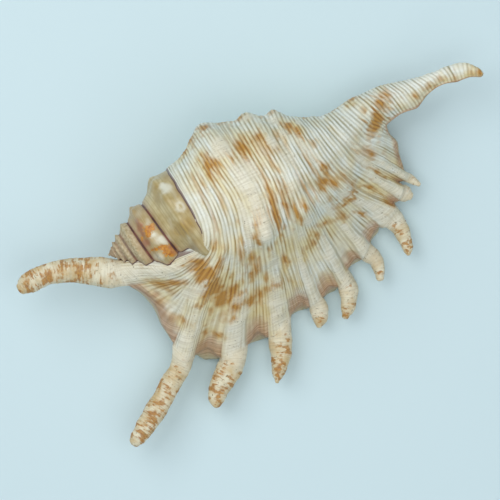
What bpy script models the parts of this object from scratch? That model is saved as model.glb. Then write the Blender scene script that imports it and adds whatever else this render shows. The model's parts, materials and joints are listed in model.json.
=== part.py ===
"""Spider conch shell, one natural solid, lying on its opening with its back up.

Run it with Blender: blender --background --python part.py
Guide lines are in millimetres; the finished mesh is in metres, +Z up. +X runs along the shell from
the long hind finger to the tip of the front canal, and the fingers of the lip point towards -Y.
Every growth rib is named by its "place": where it crosses the crest of the back, in mm along X.
"""

import math

import bmesh
import bpy
import numpy as np
from mathutils import Vector

MM = 0.001
NAME = "spider_conch_shell"

# How finely the solid is faceted.
# Points between one guide line and the next, from the pillar round the back to the rim's top.
GUIDE_STEPS = (3, 4, 5, 3, 3, 4)
WALL_POINTS = 3
INNER_POINTS = 13
ROWS_PER_FINGER = 4
GAP_ROW = 4.5  # rows across the arch between two fingers stand about this far apart at the rim
CANAL_ROWS = 11
SPIRE_RINGS = 22
SPIRE_SIDES = 36

# Guide lines along the shell. Each key is the rib's place, then a point: X, Y, Z in mm.
# The edge of the inner pillar, where the opening begins.
PILLAR = [
    (-19.5, -26, -9, 12), (-14, -19, -9.5, 6), (-9, -12, -9.5, 4), (-2, -5, -9, 3),
    (6, 3, -8.5, 2.8), (14.5, 14, -7, 3), (20, 20, -6, 3.6), (26, 25.5, -4.5, 4.6),
    (29.5, 30, -3, 5.8), (34.5, 35, -1, 7.2), (39, 40, 1.2, 8.8), (46, 46, 2.6, 10),
    (51, 51, 2.8, 10.8), (56, 56, 3, 11.8), (61.5, 61.5, 3.3, 13.4), (66.5, 66.6, 2.6, 15.6),
    (70, 70, 1.8, 17), (74.5, 74.2, 0.1, 17.2),
]
# The lowest line of the belly.
BELLY = [
    (-19.5, -21.5, 0, 4.4), (-14, -16, 1, 1.4), (-9, -11, 1, -0.3), (-2, -5, 1, -0.8),
    (6, 3, 1, -0.8), (14.5, 13, 1, -0.5), (20, 19, 1.5, 0.8), (26, 25, 2, 2.8),
    (29.5, 29.5, 2.8, 4.2), (34.5, 35, 4, 6), (39, 40, 5, 7.6), (46, 46, 5.6, 9),
    (51, 51, 5.2, 9.8), (56, 56, 4.8, 10.8), (61.5, 61.5, 4.8, 12.4), (66.5, 66.6, 4.2, 14.6),
    (70, 70.3, 3.2, 16), (74.5, 74.4, 0.7, 17.2),
]
# The outline of the body on the side away from the lip.
SIDE = [
    (-19.5, -21.2, 12.7, 21), (-17.5, -18.4, 13.4, 21), (-14, -15.2, 15, 21), (-9, -11.6, 17.6, 21),
    (-2, -6, 19, 21), (2, -0.5, 18, 20.8), (6, 4, 16.6, 20.5), (10.5, 9, 15, 20.2),
    (14.5, 13.2, 13.4, 19.5), (20, 18.2, 11.4, 17.5), (26, 23.4, 9, 16), (29.5, 26.8, 8, 15.2),
    (34.5, 31.7, 8.5, 14.5), (39, 36.7, 9.4, 14), (46, 44, 9.3, 13.6), (51, 49, 8.4, 13.6),
    (56, 54.5, 7.2, 14), (61.5, 60.5, 6.6, 15.2), (66.5, 66.6, 6, 17), (70, 71, 4.6, 18),
    (74.5, 74.6, 1.1, 18.2),
]
# The crest of the back.
CREST = [
    (-19.5, -19.5, -3, 39.5), (-17.5, -17.5, -3, 40.5), (-14, -14, -3, 41.6), (-9, -9, -3, 43),
    (-2, -2, -3, 43.6), (6, 6, -3, 42.4), (10.5, 10.5, -3, 41), (14.5, 14.5, -2.5, 39),
    (20, 20, -2, 35.4), (26, 26, -1, 31.2), (29.5, 29.5, 0, 28.6), (34.5, 34.5, 1.6, 24.8),
    (39, 39, 3.4, 21.8), (46, 46, 5, 18.6), (51, 51, 4.6, 17.6), (56, 56, 4.4, 17),
    (61.5, 61.5, 4.6, 17.5), (66.5, 66.6, 4, 18.8), (70, 70.4, 2.9, 19.4), (74.5, 74.5, 0.3, 19.1),
]
# The shoulder of the lip's side, before the back slopes down.
SHOULDER = [
    (-19.5, -22.6, -12.6, 35.4), (-17.5, -20.5, -13, 36.4), (-14, -16, -14.5, 37.4), (-9, -11, -14.5, 38.6),
    (-2, -3, -15, 39.2), (6, 5, -14, 37.8), (10.5, 10.5, -13, 36.4), (14.5, 15.5, -11.5, 34.4),
    (20, 22, -10, 30.6), (26, 28, -7.6, 26.6), (29.5, 31.4, -5.4, 24.6), (34.5, 36, -1.8, 22.2),
    (39, 40, 1, 20.4), (46, 46.5, 3.2, 18), (51, 51.5, 2.6, 17.1), (56, 56.4, 3.3, 16.7),
    (61.5, 61.7, 3.7, 17.2), (66.5, 66.7, 2.9, 18.5), (70, 70.1, 2.1, 19.1), (74.5, 74.4, -0.3, 19),
]
# The foot of that slope, where the lip flattens out.
SLOPE = [
    (-19.5, -32, -12.4, 28.6), (-17.5, -32, -15, 28), (-14, -28, -26, 23), (-9, -16.5, -28.5, 21),
    (-2, -6, -28, 21), (6, 3.2, -27.5, 18.6), (10.5, 10.8, -25.5, 17.6), (14.5, 18.4, -22.8, 16.6),
    (20, 27, -19.6, 15.6), (26, 33, -15.2, 15), (29.5, 36.4, -12.2, 15.4), (34.5, 39.5, -4.8, 17.6),
    (39, 41.2, -0.9, 18), (46, 47, 1.3, 16.8), (51, 52, 0.6, 16), (56, 56.7, 2.2, 15.9),
    (61.5, 61.9, 2.8, 16.6), (66.5, 66.7, 1.9, 18), (70, 69.9, 1.3, 18.6), (74.5, 74.2, -0.8, 18.8),
]
# The rim of the lip: X, Y, height of its underside. Two keys stand at each finger's sides.
RIM = [
    (-19.5, -45, -5.6, 16), (-16.6, -45.6, -13.8, 15.2), (-16.2, -43, -18, 13.4), (-15.8, -41.4, -23.6, 11),
    (-15.5, -41.6, -28.6, 8.6), (-15.2, -41, -34.6, 6), (-12.8, -36.8, -40.4, 4), (-11.6, -32.8, -40, 1.4),
    (-10.6, -30.6, -44.2, 2.4), (-7.4, -21.6, -44, 2), (-5.9, -17.4, -42, 0), (-4.3, -15, -44.6, 1.6),
    (0.2, -6.2, -41.6, 1.4),
    (2.6, -2.2, -39.6, -0.2), (4.9, -0.4, -41.6, 1.2), (7.1, 4.4, -40.6, 1.2), (8.2, 7.6, -38.8, -0.2),
    (9.2, 9.8, -39.6, 1.2), (11.9, 14.6, -36, 1.4), (12.7, 18, -34.2, -0.2), (13.5, 19.4, -35.2, 1.4),
    (15.7, 24, -31.6, 1.6), (16.9, 26.4, -29.2, 0.4), (18.1, 28.2, -28.6, 1.6), (21.8, 35, -24.8, 2.4),
    (23.2, 34.8, -23.4, 2), (24.7, 36.6, -23.8, 2.8), (27.2, 39.6, -20.2, 3.4), (27.8, 38.9, -19, 3.2),
    (28.5, 40.2, -19.2, 3.8), (30.8, 41.8, -16.4, 4.6), (33, 42.4, -11.4, 6), (34.8, 43.2, -8, 7.6),
    (36.6, 42.2, -5, 9.6), (39, 42.4, -2.6, 11.8), (42, 44.6, -1.6, 12), (46, 47.6, -0.8, 11.8),
    (51, 52.4, -1.4, 12), (53.5, 54.6, -0.4, 12.2), (56, 57, 0.9, 12.6), (61.5, 62, 1.9, 14.2),
    (66.5, 66.7, 0.8, 16), (70, 69.8, 0.5, 17.2), (74.5, 74, -1.4, 17.6),
]
# Place, height of the rim's outer wall, how far its lower margin stands out beyond the top.
RIM_WALL = [
    (-19.5, 3.6, 0.2), (-16.6, 4, 0.2), (-15.8, 4.2, 0.8), (-15.2, 4.8, 0.3), (-12.8, 5, 0.3),
    (-11.6, 6, 3.6), (-10.6, 5, 0.3), (-7.4, 5, 0.3), (-5.9, 6, 2.6), (-4.3, 5, 0.3), (0.2, 5, 0.3),
    (2.6, 6, 2.2), (4.9, 5, 0.3), (7.1, 4.8, 0.3), (8.2, 5.6, 1.6), (9.2, 4.8, 0.3), (11.9, 4.8, 0.3),
    (12.7, 5.4, 1.4), (13.5, 4.8, 0.3), (15.7, 4.6, 0.3), (16.9, 5.4, 1.2), (18.1, 4.6, 0.3),
    (21.8, 4.4, 0.2), (23.2, 4.6, 0.6), (24.7, 4, 0.2), (27.2, 3.4, 0.2), (27.8, 3.4, 0.3),
    (28.5, 3, 0.2), (30.8, 3, 0.2), (34.8, 3, 0.3), (39, 2.4, 0), (46, 2.2, 0), (56, 1.8, 0.1),
    (66.5, 1, 0.1), (74.5, 0.6, 0.1),
]
# The rim's wall from its top edge to its underside: share out to the margin, share up.
RIM_PROFILE = [(0.12, 0.7), (0.55, 0.42), (1.0, 0.14)]
# The lip's inner edge, where its underside turns up into the opening.
THROAT = [
    (-19.5, -27.6, -11, 13), (-14, -20.5, -15.6, 11), (-9, -13.5, -18.4, 9.6), (-2, -5.5, -19.4, 9),
    (6, 3, -18.6, 8.4), (14.5, 16, -15, 7.8), (20, 23, -12.2, 7.6), (26, 28.6, -9.2, 7.8),
    (29.5, 33, -6.8, 8.6), (34.5, 37.4, -3.6, 10), (39, 41.2, -0.6, 11.6), (46, 46.9, 1, 12.2),
    (51, 51.8, 0.6, 12.6), (56, 56.4, 1.9, 13), (61.5, 61.8, 2.6, 14.6), (66.5, 66.7, 1.5, 16.4),
    (70, 69.8, 1, 17.5), (74.5, 74, -0.7, 17.3),
]
# Place, height of the hollow's roof under the back, share of the way the hollow reaches inwards.
HOLLOW = [
    (-19.5, 16, 0.1), (-14, 24, 0.6), (-9, 31, 1), (-2, 34, 1), (6, 33, 1), (14.5, 30, 1),
    (20, 26, 1), (26, 22, 0.9), (29.5, 20, 0.8), (34.5, 17.6, 0.5), (39, 16, 0.3), (46, 14.8, 0.2),
    (51, 14.2, 0.15), (56, 14.4, 0.1), (61.5, 15.4, 0.1), (66.5, 16.9, 0.05), (70, 17.5, 0),
    (74.5, 17.8, 0),
]

# Fingers: first and last rib place, then X, Y, Z, width and height of each ring down to the tip.
FINGERS = {
    "hind": (-19.5, -16.6, [
        (-48.6, -8.2, 18.6, 8.6, 8.2), (-54, -5.4, 18.4, 8, 7.6), (-60.4, -2.4, 18.2, 6.9, 6.6),
        (-67.2, -0.8, 18.4, 6.6, 6), (-72.2, -1, 18.8, 6.4, 5.4), (-74.8, -1.6, 19, 4, 3.2),
    ]),
    "long": (-15.2, -12.8, [
        (-42.6, -42.2, 8.2, 6.6, 6), (-46.4, -45, 8.6, 6.3, 5.6), (-51.8, -49, 9.4, 6.4, 5.6),
        (-57.4, -52.7, 10.6, 6, 5.2), (-62.2, -55.8, 11.6, 5.2, 4.6), (-63.6, -56.6, 11.8, 3.4, 3),
    ]),
    "third": (-10.6, -7.4, [
        (-28.4, -47.6, 6.4, 8.4, 7), (-31.6, -50.4, 6.6, 7.4, 6.4), (-34.4, -52.6, 7.2, 6.4, 5.6),
        (-36.6, -55.6, 7.8, 4, 3.8), (-37.2, -56.8, 8, 2, 2),
    ]),
    "fourth": (-4.3, 0.2, [
        (-12, -46.8, 6, 7.2, 6.6), (-13.4, -50.2, 6, 6.4, 5.8), (-15.2, -53.4, 6.4, 4.9, 4.6),
        (-17.2, -56.2, 7, 3.2, 3), (-18.3, -58, 7.2, 1.2, 1.2),
    ]),
    "fifth": (4.9, 7.1, [
        (2, -42.8, 5, 5.4, 5.2), (1.5, -45, 5, 4.7, 4.6),
        (0.7, -46.9, 5.2, 3.6, 3.6), (0, -48.2, 5.4, 1.8, 1.8),
    ]),
    "sixth": (9.2, 11.9, [
        (12.3, -41.6, 5, 5.6, 5.4), (11.4, -44.4, 5.2, 5, 4.8),
        (9.8, -46.8, 5.6, 4, 3.8), (8, -48.8, 6, 1.8, 1.8),
    ]),
    "seventh": (13.5, 15.7, [
        (22.3, -34.9, 5, 5.6, 5), (23.2, -37.6, 5.2, 4.2, 4),
        (23, -40.2, 5.6, 3.2, 3), (22.2, -42.8, 6, 1.6, 1.6),
    ]),
    "eighth": (18.1, 21.8, [
        (33, -28.8, 5.2, 6.4, 5.8), (33.7, -32.2, 5.4, 5.2, 4.8), (33.7, -35.4, 5.8, 4.1, 3.8),
        (33.2, -38, 6.2, 2.8, 2.6), (32.7, -39.6, 6.3, 1.2, 1.2),
    ]),
    "ninth": (24.7, 27.2, [
        (38.5, -22.2, 5.6, 5, 4.2), (39.4, -23.3, 5.8, 4.6, 3.8), (40.2, -24.2, 6, 2.4, 2.2),
    ]),
    "tenth": (28.5, 30.8, [(42.1, -19, 6, 3, 2.8), (43, -20.4, 6.1, 2.2, 2.1), (44.2, -22.2, 6.3, 1, 1)]),
}

# Each finger is the end of a ridge that winds round the back. Way round the back (0 the pillar,
# 1 the belly, 2 the side, 3 the crest, 4 the shoulder, 5 the slope, 6 the rim), then the height.
RIDGES = [(1.6, 0), (2, 0.15), (3, 0.25), (4, 0.5), (5, 1.3), (5.6, 2.2), (6, 2.8)]

# Knobs and lumps: rib place, way round, half length along X, half width round the back, height.
KNOBS = [
    (-4, 2.02, 3.6, 0.34, 1.7), (-3.5, 2.5, 4, 0.26, 2.2), (-2.5, 4.05, 3.6, 0.3, 3.6),
    (-4.5, 4.75, 2.8, 0.2, 1.3), (8, 2.05, 2.4, 0.26, 2.2), (9, 2.6, 2.6, 0.24, 1.3),
    (10.5, 4.15, 2.4, 0.24, 1.7), (15.2, 2.02, 2.6, 0.26, 2.5), (19.5, 2.45, 2.4, 0.22, 0.9),
    (15.5, 4.3, 2.2, 0.22, 1.2), (20.2, 4.3, 2.2, 0.22, 1),
]

# The spire: a knobbed cone whose suture climbs round it and which ends inside the last whorl.
APEX = (-47.6, -3.0, 19.6)
SPIRE_AXIS = (1.0, -0.045, 0.045)
SPIRE_LENGTH = 34.6
SUTURE_PLACE = 26.4  # from the apex to the last suture, on the side away from the lip
SUTURE_RADIUS = 18.5
SPIRE_SWELL = 0.78  # how the radius grows with the distance from the apex
WHORL_RATIO = 1.86  # each whorl is this much longer than the one before
# Share of the way from one suture to the next, how far the whorl stands out there.
WHORL_PROFILE = [(0, -0.13), (0.06, -0.11), (0.3, -0.06), (0.5, 0.05), (0.62, 0.04), (0.95, -0.08), (1, -0.13)]
KNOBS_PER_WHORL = 12
NOSE = (26.0, 9.0)  # beyond this distance the buried end rounds off over this length


def along(keys, places):
    """The guide values at each place, on a smooth curve that never overshoots its keys."""
    table = np.array(keys, float)
    known, values = table[:, 0], table[:, 1:]
    gaps = np.diff(known)[:, None]
    slopes = np.diff(values, axis=0) / gaps
    before, after = slopes[:-1], slopes[1:]
    early, late = 2 * gaps[1:] + gaps[:-1], gaps[1:] + 2 * gaps[:-1]
    same_way = before * after > 0
    safe_before, safe_after = np.where(same_way, before, 1), np.where(same_way, after, 1)
    tangents = np.vstack([
        slopes[:1],
        np.where(same_way, (early + late) / (early / safe_before + late / safe_after), 0),
        slopes[-1:],
    ])
    places = np.clip(np.atleast_1d(np.asarray(places, float)), known[0], known[-1])
    cell = np.clip(np.searchsorted(known, places, side="right") - 1, 0, len(gaps) - 1)
    step = gaps[cell]
    share = (places - known[cell])[:, None] / step
    return (
        (2 * share**3 - 3 * share**2 + 1) * values[cell]
        + (share**3 - 2 * share**2 + share) * step * tangents[cell]
        + (3 * share**2 - 2 * share**3) * values[cell + 1]
        + (share**3 - share**2) * step * tangents[cell + 1]
    )


def through(points, count):
    """count points, evenly spread, on a smooth curve through the points."""
    points = np.asarray(points, float)
    lengths = np.maximum(np.linalg.norm(np.diff(points, axis=0), axis=1), 1e-6)
    stops = np.concatenate([[0], np.cumsum(np.sqrt(lengths))])
    keys = [(stop, *point) for stop, point in zip(stops, points)]
    fine = along(keys, np.linspace(0, stops[-1], 160))
    travelled = np.concatenate([[0], np.cumsum(np.linalg.norm(np.diff(fine, axis=0), axis=1))])
    wanted = np.linspace(0, travelled[-1], count)
    return np.stack([np.interp(wanted, travelled, fine[:, i]) for i in range(3)], axis=1)


def quarter(side, top, degrees):
    """A point on the quarter ellipse from a side point, turned towards a top or bottom point."""
    angle = math.radians(degrees)
    plan = top[:2] + (side[:2] - top[:2]) * math.cos(angle)
    return np.array([*plan, side[2] + (top[2] - side[2]) * math.sin(angle)])


def finger_share(place):
    """How far a rib is into a finger: 1 on its middle, 0 at its sides and between fingers."""
    best = 0.0
    for first, last, _ in FINGERS.values():
        off_centre = (place - (first + last) / 2) / ((last - first) / 2)
        best = max(best, 1 - off_centre**2)
    return best**0.7


def outward(place):
    """The level direction that points out of the rim at a place."""
    ahead, behind = along(RIM, [place + 0.8])[0], along(RIM, [place - 0.8])[0]
    heading = ahead[:2] - behind[:2]
    normal = np.array([heading[1], -heading[0], 0.0])
    return normal / max(np.linalg.norm(normal), 1e-6)


def swollen(points, ways, place):
    """Ridges and knobs swell the back out from the body's own axis."""
    centre = np.stack([points[:, 0], np.full(len(points), -4.0), np.full(len(points), 20.0)], axis=1)
    out = points - centre
    out /= np.maximum(np.linalg.norm(out, axis=1), 1e-6)[:, None]
    lip = np.clip(ways - 4, 0, 1)[:, None]
    out = out * (1 - lip) + np.array([0.0, 0.0, 1.0]) * lip
    height = np.interp(ways, *zip(*RIDGES)) * finger_share(place)
    for knob_place, knob_way, reach, reach_round, knob_height in KNOBS:
        off = ((place - knob_place) / reach) ** 2 + ((ways - knob_way) / reach_round) ** 2
        height += knob_height * np.exp(-off)
    return points + out * height[:, None]


def section(place):
    """One closed growth line: the outer face, the rim's wall, then the inner face to the pillar."""
    pillar, belly, side, crest, shoulder, slope, rim, throat = (
        along(guide, [place])[0] for guide in (PILLAR, BELLY, SIDE, CREST, SHOULDER, SLOPE, RIM, THROAT)
    )
    wall_height, margin = along(RIM_WALL, [place])[0]
    roof, reach = along(HOLLOW, [place])[0]
    top = rim + (0, 0, wall_height)
    before_rim = slope * 0.35 + top * 0.65 - (0, 0, 0.12 * wall_height)
    spans = [np.linspace(i, i + 1, steps + 1)[:-1] for i, steps in enumerate(GUIDE_STEPS)]
    ways = np.concatenate([*spans, [len(GUIDE_STEPS)]])
    callus = belly - pillar
    guides = [(0, *pillar), (0.6, *(pillar + callus * (0.6, 0.6, 0.96))), (1, *belly)]
    guides += [(1.25, *(belly + (side - belly) * (0.16, 0.16, 0.01))), (1.45, *quarter(side, belly, 50))]
    guides += [(1.7, *quarter(side, belly, 25))]
    guides += [(2, *side), (7 / 3, *quarter(side, crest, 30)), (8 / 3, *quarter(side, crest, 60))]
    guides += [(3, *crest), (4, *shoulder), (5, *slope), (5.65, *before_rim), (6, *top)]
    outer = swollen(along(guides, ways), ways, place)
    away = outward(place) * margin
    wall = [rim + away * out + (outer[-1] - rim) * up for out, up in RIM_PROFILE]
    start = rim + away * 0.8
    across = pillar - throat
    rise = np.array([0, 0, roof - throat[2]])
    inner = through([
        start,
        start * 0.45 + throat * 0.55 + (0, 0, 0.03 * np.linalg.norm(start - throat)),
        throat,
        throat + across * 0.06 + rise * 0.3,
        throat + across * 0.3 + rise,
        pillar + (0, 1.5 * reach, 0.86 * (roof - pillar[2])),
        pillar + (0, 0.9 * reach, 0.34 * (roof - pillar[2])),
        pillar,
    ], INNER_POINTS + 1)
    return [*outer, *wall, *inner[:-1]]


def row_places():
    """The ribs that the mesh follows, with the rows where each finger begins and ends."""
    places, bands = [], {}
    for name, (first, last, _) in FINGERS.items():
        if places:
            rim = along(RIM, np.linspace(places[-1], first, 9))
            width = np.linalg.norm(np.diff(rim, axis=0), axis=1).sum()
            rows = max(2, round(width / GAP_ROW))
            places.extend(np.linspace(places[-1], first, rows + 1)[1:-1])
        start = len(places)
        places.extend(np.linspace(first, last, ROWS_PER_FINGER + 1))
        bands[name] = (start, len(places) - 1)
    places.extend(np.linspace(places[-1], RIM[-1][0], CANAL_ROWS + 1)[1:])
    return places, bands


def finger_tube(mesh, ring, rings):
    """Lofts a finger from its root, a ring whose points run over the top to the far side."""
    count = len(ring)
    root = np.array([vertex.co for vertex in ring])
    angles = math.pi / 2 - (np.arange(count) - ROWS_PER_FINGER / 2) * 2 * math.pi / count
    centres = np.array([root.mean(axis=0)] + [spot[:3] for spot in rings])
    previous = ring
    for step, (x, y, z, width, height) in enumerate(rings, start=1):
        heading = centres[min(step + 1, len(rings))] - centres[step - 1]
        heading /= np.linalg.norm(heading)
        across = np.cross((0, 0, 1), heading)
        across /= np.linalg.norm(across)
        up = np.cross(heading, across)
        spots = centres[step] + np.outer(np.cos(angles) * width / 2, across)
        spots += np.outer(np.sin(angles) * height / 2, up)
        current = [mesh.verts.new(spot) for spot in spots]
        for i in range(count):
            j = (i + 1) % count
            mesh.faces.new((previous[i], previous[j], current[j], current[i]))
        previous = current
    tip = mesh.verts.new(centres[-1] + heading * rings[-1][3] * 0.3)
    for i in range(count):
        mesh.faces.new((previous[i], previous[(i + 1) % count], tip))


def end_cap(mesh, outer, inner):
    """Closes a growth line by zipping its outer points to its inner ones, shorter steps first."""
    i, j = 0, 0
    while i < len(outer) - 1 or j < len(inner) - 1:
        outer_step = (outer[i + 1].co - inner[j].co).length if i < len(outer) - 1 else math.inf
        inner_step = (inner[j + 1].co - outer[i].co).length if j < len(inner) - 1 else math.inf
        if outer_step <= inner_step:
            mesh.faces.new((outer[i], outer[i + 1], inner[j]))
            i += 1
        else:
            mesh.faces.new((outer[i], inner[j + 1], inner[j]))
            j += 1


def body_mesh():
    """The last whorl with its lip, fingers and canal, lofted along the ribs."""
    places, bands = row_places()
    mesh = bmesh.new()
    grid = [[mesh.verts.new(point) for point in section(place)] for place in places]
    columns = len(grid[0])
    rim_top = sum(GUIDE_STEPS)
    rim_foot = rim_top + WALL_POINTS + 1
    in_finger = {row for start, end in bands.values() for row in range(start, end)}
    for row in range(len(grid) - 1):
        for column in range(columns):
            if row in in_finger and rim_top <= column < rim_foot:
                continue
            beside = (column + 1) % columns
            corners = (grid[row][column], grid[row][beside], grid[row + 1][beside], grid[row + 1][column])
            mesh.faces.new(corners)
    for name, (start, end) in bands.items():
        over = [grid[row][rim_top] for row in range(start, end + 1)]
        far = grid[end][rim_top + 1:rim_foot]
        under = [grid[row][rim_foot] for row in range(end, start - 1, -1)]
        near = grid[start][rim_foot - 1:rim_top:-1]
        finger_tube(mesh, over + far + under + near, FINGERS[name][2])
    for row in (grid[0], grid[-1]):
        end_cap(mesh, row[:rim_foot + 1], row[:rim_foot:-1])
    for vertex in mesh.verts:
        vertex.co.z = max(vertex.co.z, 0.0)
    return mesh


def spire_radius(distance, turns):
    """Radius of the spire at a distance from the apex, for turns round it from the far side."""
    mean = SUTURE_RADIUS * (distance / SUTURE_PLACE) ** SPIRE_SWELL
    whorls = math.log(distance / SUTURE_PLACE) / math.log(WHORL_RATIO) - turns
    share = whorls - np.floor(whorls)
    stepped = np.interp(share, *zip(*WHORL_PROFILE))
    waves = 0.5 + 0.5 * np.cos(2 * math.pi * KNOBS_PER_WHORL * turns)
    knobs = np.exp(-(((share - 0.5) / 0.13) ** 2)) * waves
    nose = max(0.0, distance - NOSE[0]) / NOSE[1]
    under_lip = np.clip(-np.cos(2 * math.pi * turns) - 0.2, 0, 1) * min(max((distance - 16) / 8, 0), 1)
    return mean * (1 + stepped + 0.07 * knobs - 0.16 * under_lip) * math.sqrt(max(0.0, 1 - nose**2))


def spire_mesh():
    """The older whorls: rings about the axis, closed at the apex and inside the last whorl."""
    mesh = bmesh.new()
    apex, axis = np.array(APEX), np.array(SPIRE_AXIS)
    axis /= np.linalg.norm(axis)
    level = np.cross((0, 0, 1), axis)
    level /= np.linalg.norm(level)
    upward = np.cross(axis, level)
    turns = np.arange(SPIRE_SIDES) / SPIRE_SIDES
    rings = []
    for i in range(1, SPIRE_RINGS + 1):
        distance = SPIRE_LENGTH * (i / SPIRE_RINGS) ** 1.25
        radius = spire_radius(distance, turns)
        angle = 2 * math.pi * turns
        spots = apex + axis * distance + np.outer(radius * np.cos(angle), level)
        spots += np.outer(radius * np.sin(angle), upward)
        rings.append([mesh.verts.new(spot) for spot in spots])
    tip = mesh.verts.new(apex)
    for ring, following in zip(rings, rings[1:]):
        for i in range(SPIRE_SIDES):
            j = (i + 1) % SPIRE_SIDES
            mesh.faces.new((ring[i], ring[j], following[j], following[i]))
    for i in range(SPIRE_SIDES):
        mesh.faces.new((tip, rings[0][(i + 1) % SPIRE_SIDES], rings[0][i]))
    mesh.faces.new(rings[-1])
    return mesh


def as_object(mesh, name, collection, centre):
    """Turns a bmesh in millimetres into an object in metres about the centre of the outline."""
    bmesh.ops.triangulate(mesh, faces=mesh.faces[:])
    bmesh.ops.recalc_face_normals(mesh, faces=mesh.faces[:])
    for vertex in mesh.verts:
        vertex.co = (vertex.co - centre) * MM
    data = bpy.data.meshes.new(name)
    mesh.to_mesh(data)
    mesh.free()
    made = bpy.data.objects.new(name, data)
    collection.objects.link(made)
    return made


def shell_material():
    """Chalky cream shell."""
    material = bpy.data.materials.new("cream shell")
    material.use_nodes = True
    surface = material.node_tree.nodes["Principled BSDF"]
    surface.inputs["Base Color"].default_value = (0.72, 0.62, 0.47, 1)
    surface.inputs["Roughness"].default_value = 0.5
    surface.inputs["Metallic"].default_value = 0.0
    return material


def main():
    for old in list(bpy.data.objects):
        bpy.data.objects.remove(old)
    parts = bpy.data.collections.new("spider conch")
    cutters = bpy.data.collections.new("joined shapes")
    for collection in (parts, cutters):
        bpy.context.scene.collection.children.link(collection)
    body = body_mesh()
    xs, ys = [vertex.co.x for vertex in body.verts], [vertex.co.y for vertex in body.verts]
    centre = Vector(((min(xs) + max(xs)) / 2, (min(ys) + max(ys)) / 2, 0))
    shell = as_object(body, NAME, parts, centre)
    spire = as_object(spire_mesh(), "spire", cutters, centre)
    spire.hide_render = True
    spire.display_type = "WIRE"
    union = shell.modifiers.new("spire", "BOOLEAN")
    union.operation = "UNION"
    union.object = spire
    shell.data.materials.append(shell_material())


main()
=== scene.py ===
# %% [markdown]
# A dried spider conch shell, the kind with ten fingers, lying on its opening with its back up.
# It is one natural piece, so it is one object here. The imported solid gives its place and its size.
# This file builds a finer mesh along the same guide lines, adds the ribs as real relief, and then
# paints it with materials made of nodes. All lengths in the tables are millimetres.

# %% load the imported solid
import json
import math

import bmesh
import bpy
import numpy as np
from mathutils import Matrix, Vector, kdtree, noise

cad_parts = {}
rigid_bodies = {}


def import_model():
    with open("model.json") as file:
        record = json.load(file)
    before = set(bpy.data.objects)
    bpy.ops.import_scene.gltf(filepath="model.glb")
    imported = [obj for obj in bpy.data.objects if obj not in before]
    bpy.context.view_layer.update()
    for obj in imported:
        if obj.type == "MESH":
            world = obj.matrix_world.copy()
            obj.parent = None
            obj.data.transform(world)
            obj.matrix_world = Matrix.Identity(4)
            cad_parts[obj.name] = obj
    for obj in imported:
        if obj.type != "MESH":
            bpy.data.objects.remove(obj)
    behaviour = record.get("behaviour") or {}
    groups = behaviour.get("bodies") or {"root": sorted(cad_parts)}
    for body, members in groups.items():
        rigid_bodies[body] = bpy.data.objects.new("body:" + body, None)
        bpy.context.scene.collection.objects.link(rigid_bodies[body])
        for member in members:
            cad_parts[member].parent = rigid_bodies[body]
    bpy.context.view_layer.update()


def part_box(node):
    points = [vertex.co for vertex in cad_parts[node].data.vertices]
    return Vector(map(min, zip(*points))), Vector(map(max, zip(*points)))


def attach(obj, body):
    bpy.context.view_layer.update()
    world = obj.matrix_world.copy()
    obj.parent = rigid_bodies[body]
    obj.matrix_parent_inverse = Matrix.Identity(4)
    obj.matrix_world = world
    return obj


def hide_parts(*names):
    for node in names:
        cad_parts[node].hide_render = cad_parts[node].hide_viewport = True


MM = 0.001
NODE = "spider_conch_shell"
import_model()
cad_low, cad_high = (np.array(corner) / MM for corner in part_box(NODE))
print("the solid measures", (cad_high - cad_low).round(1), "mm")

# %% [markdown]
# A shell grows by adding to the edge of its lip, so its back can be read as a bundle of lines.
# Here the lines are the fine spiral ribs: each one starts at the inner pillar, passes under the
# belly, rises up the side, crosses the crest, runs down the shoulder and ends at the lip's rim.
# A rib is named by its "place", the millimetre along X where it crosses the crest. A guide line
# says, for some places, where the rib meets it, and a smooth curve gives the ribs in between.
# It could be sculpted instead, but guides keep every rib continuous from belly to lip.

# %% guide lines of the body
# Guide lines along the shell. Each key is the rib's place, then a point: X, Y, Z in mm.
# The edge of the inner pillar, where the opening begins.
PILLAR = [
    (-19.5, -26, -9, 12), (-14, -19, -9.5, 6), (-9, -12, -9.5, 4), (-2, -5, -9, 3),
    (6, 3, -8.5, 2.8), (14.5, 14, -7, 3), (20, 20, -6, 3.6), (26, 25.5, -4.5, 4.6),
    (29.5, 30, -3, 5.8), (34.5, 35, -1, 7.2), (39, 40, 1.2, 8.8), (46, 46, 2.6, 10),
    (51, 51, 2.8, 10.8), (56, 56, 3, 11.8), (61.5, 61.5, 3.3, 13.4), (66.5, 66.6, 2.6, 15.6),
    (70, 70, 1.8, 17), (74.5, 74.2, 0.1, 17.2),
]
# The lowest line of the belly.
BELLY = [
    (-19.5, -21.5, 0, 4.4), (-14, -16, 1, 1.4), (-9, -11, 1, -0.3), (-2, -5, 1, -0.8),
    (6, 3, 1, -0.8), (14.5, 13, 1, -0.5), (20, 19, 1.5, 0.8), (26, 25, 2, 2.8),
    (29.5, 29.5, 2.8, 4.2), (34.5, 35, 4, 6), (39, 40, 5, 7.6), (46, 46, 5.6, 9),
    (51, 51, 5.2, 9.8), (56, 56, 4.8, 10.8), (61.5, 61.5, 4.8, 12.4), (66.5, 66.6, 4.2, 14.6),
    (70, 70.3, 3.2, 16), (74.5, 74.4, 0.7, 17.2),
]
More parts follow.
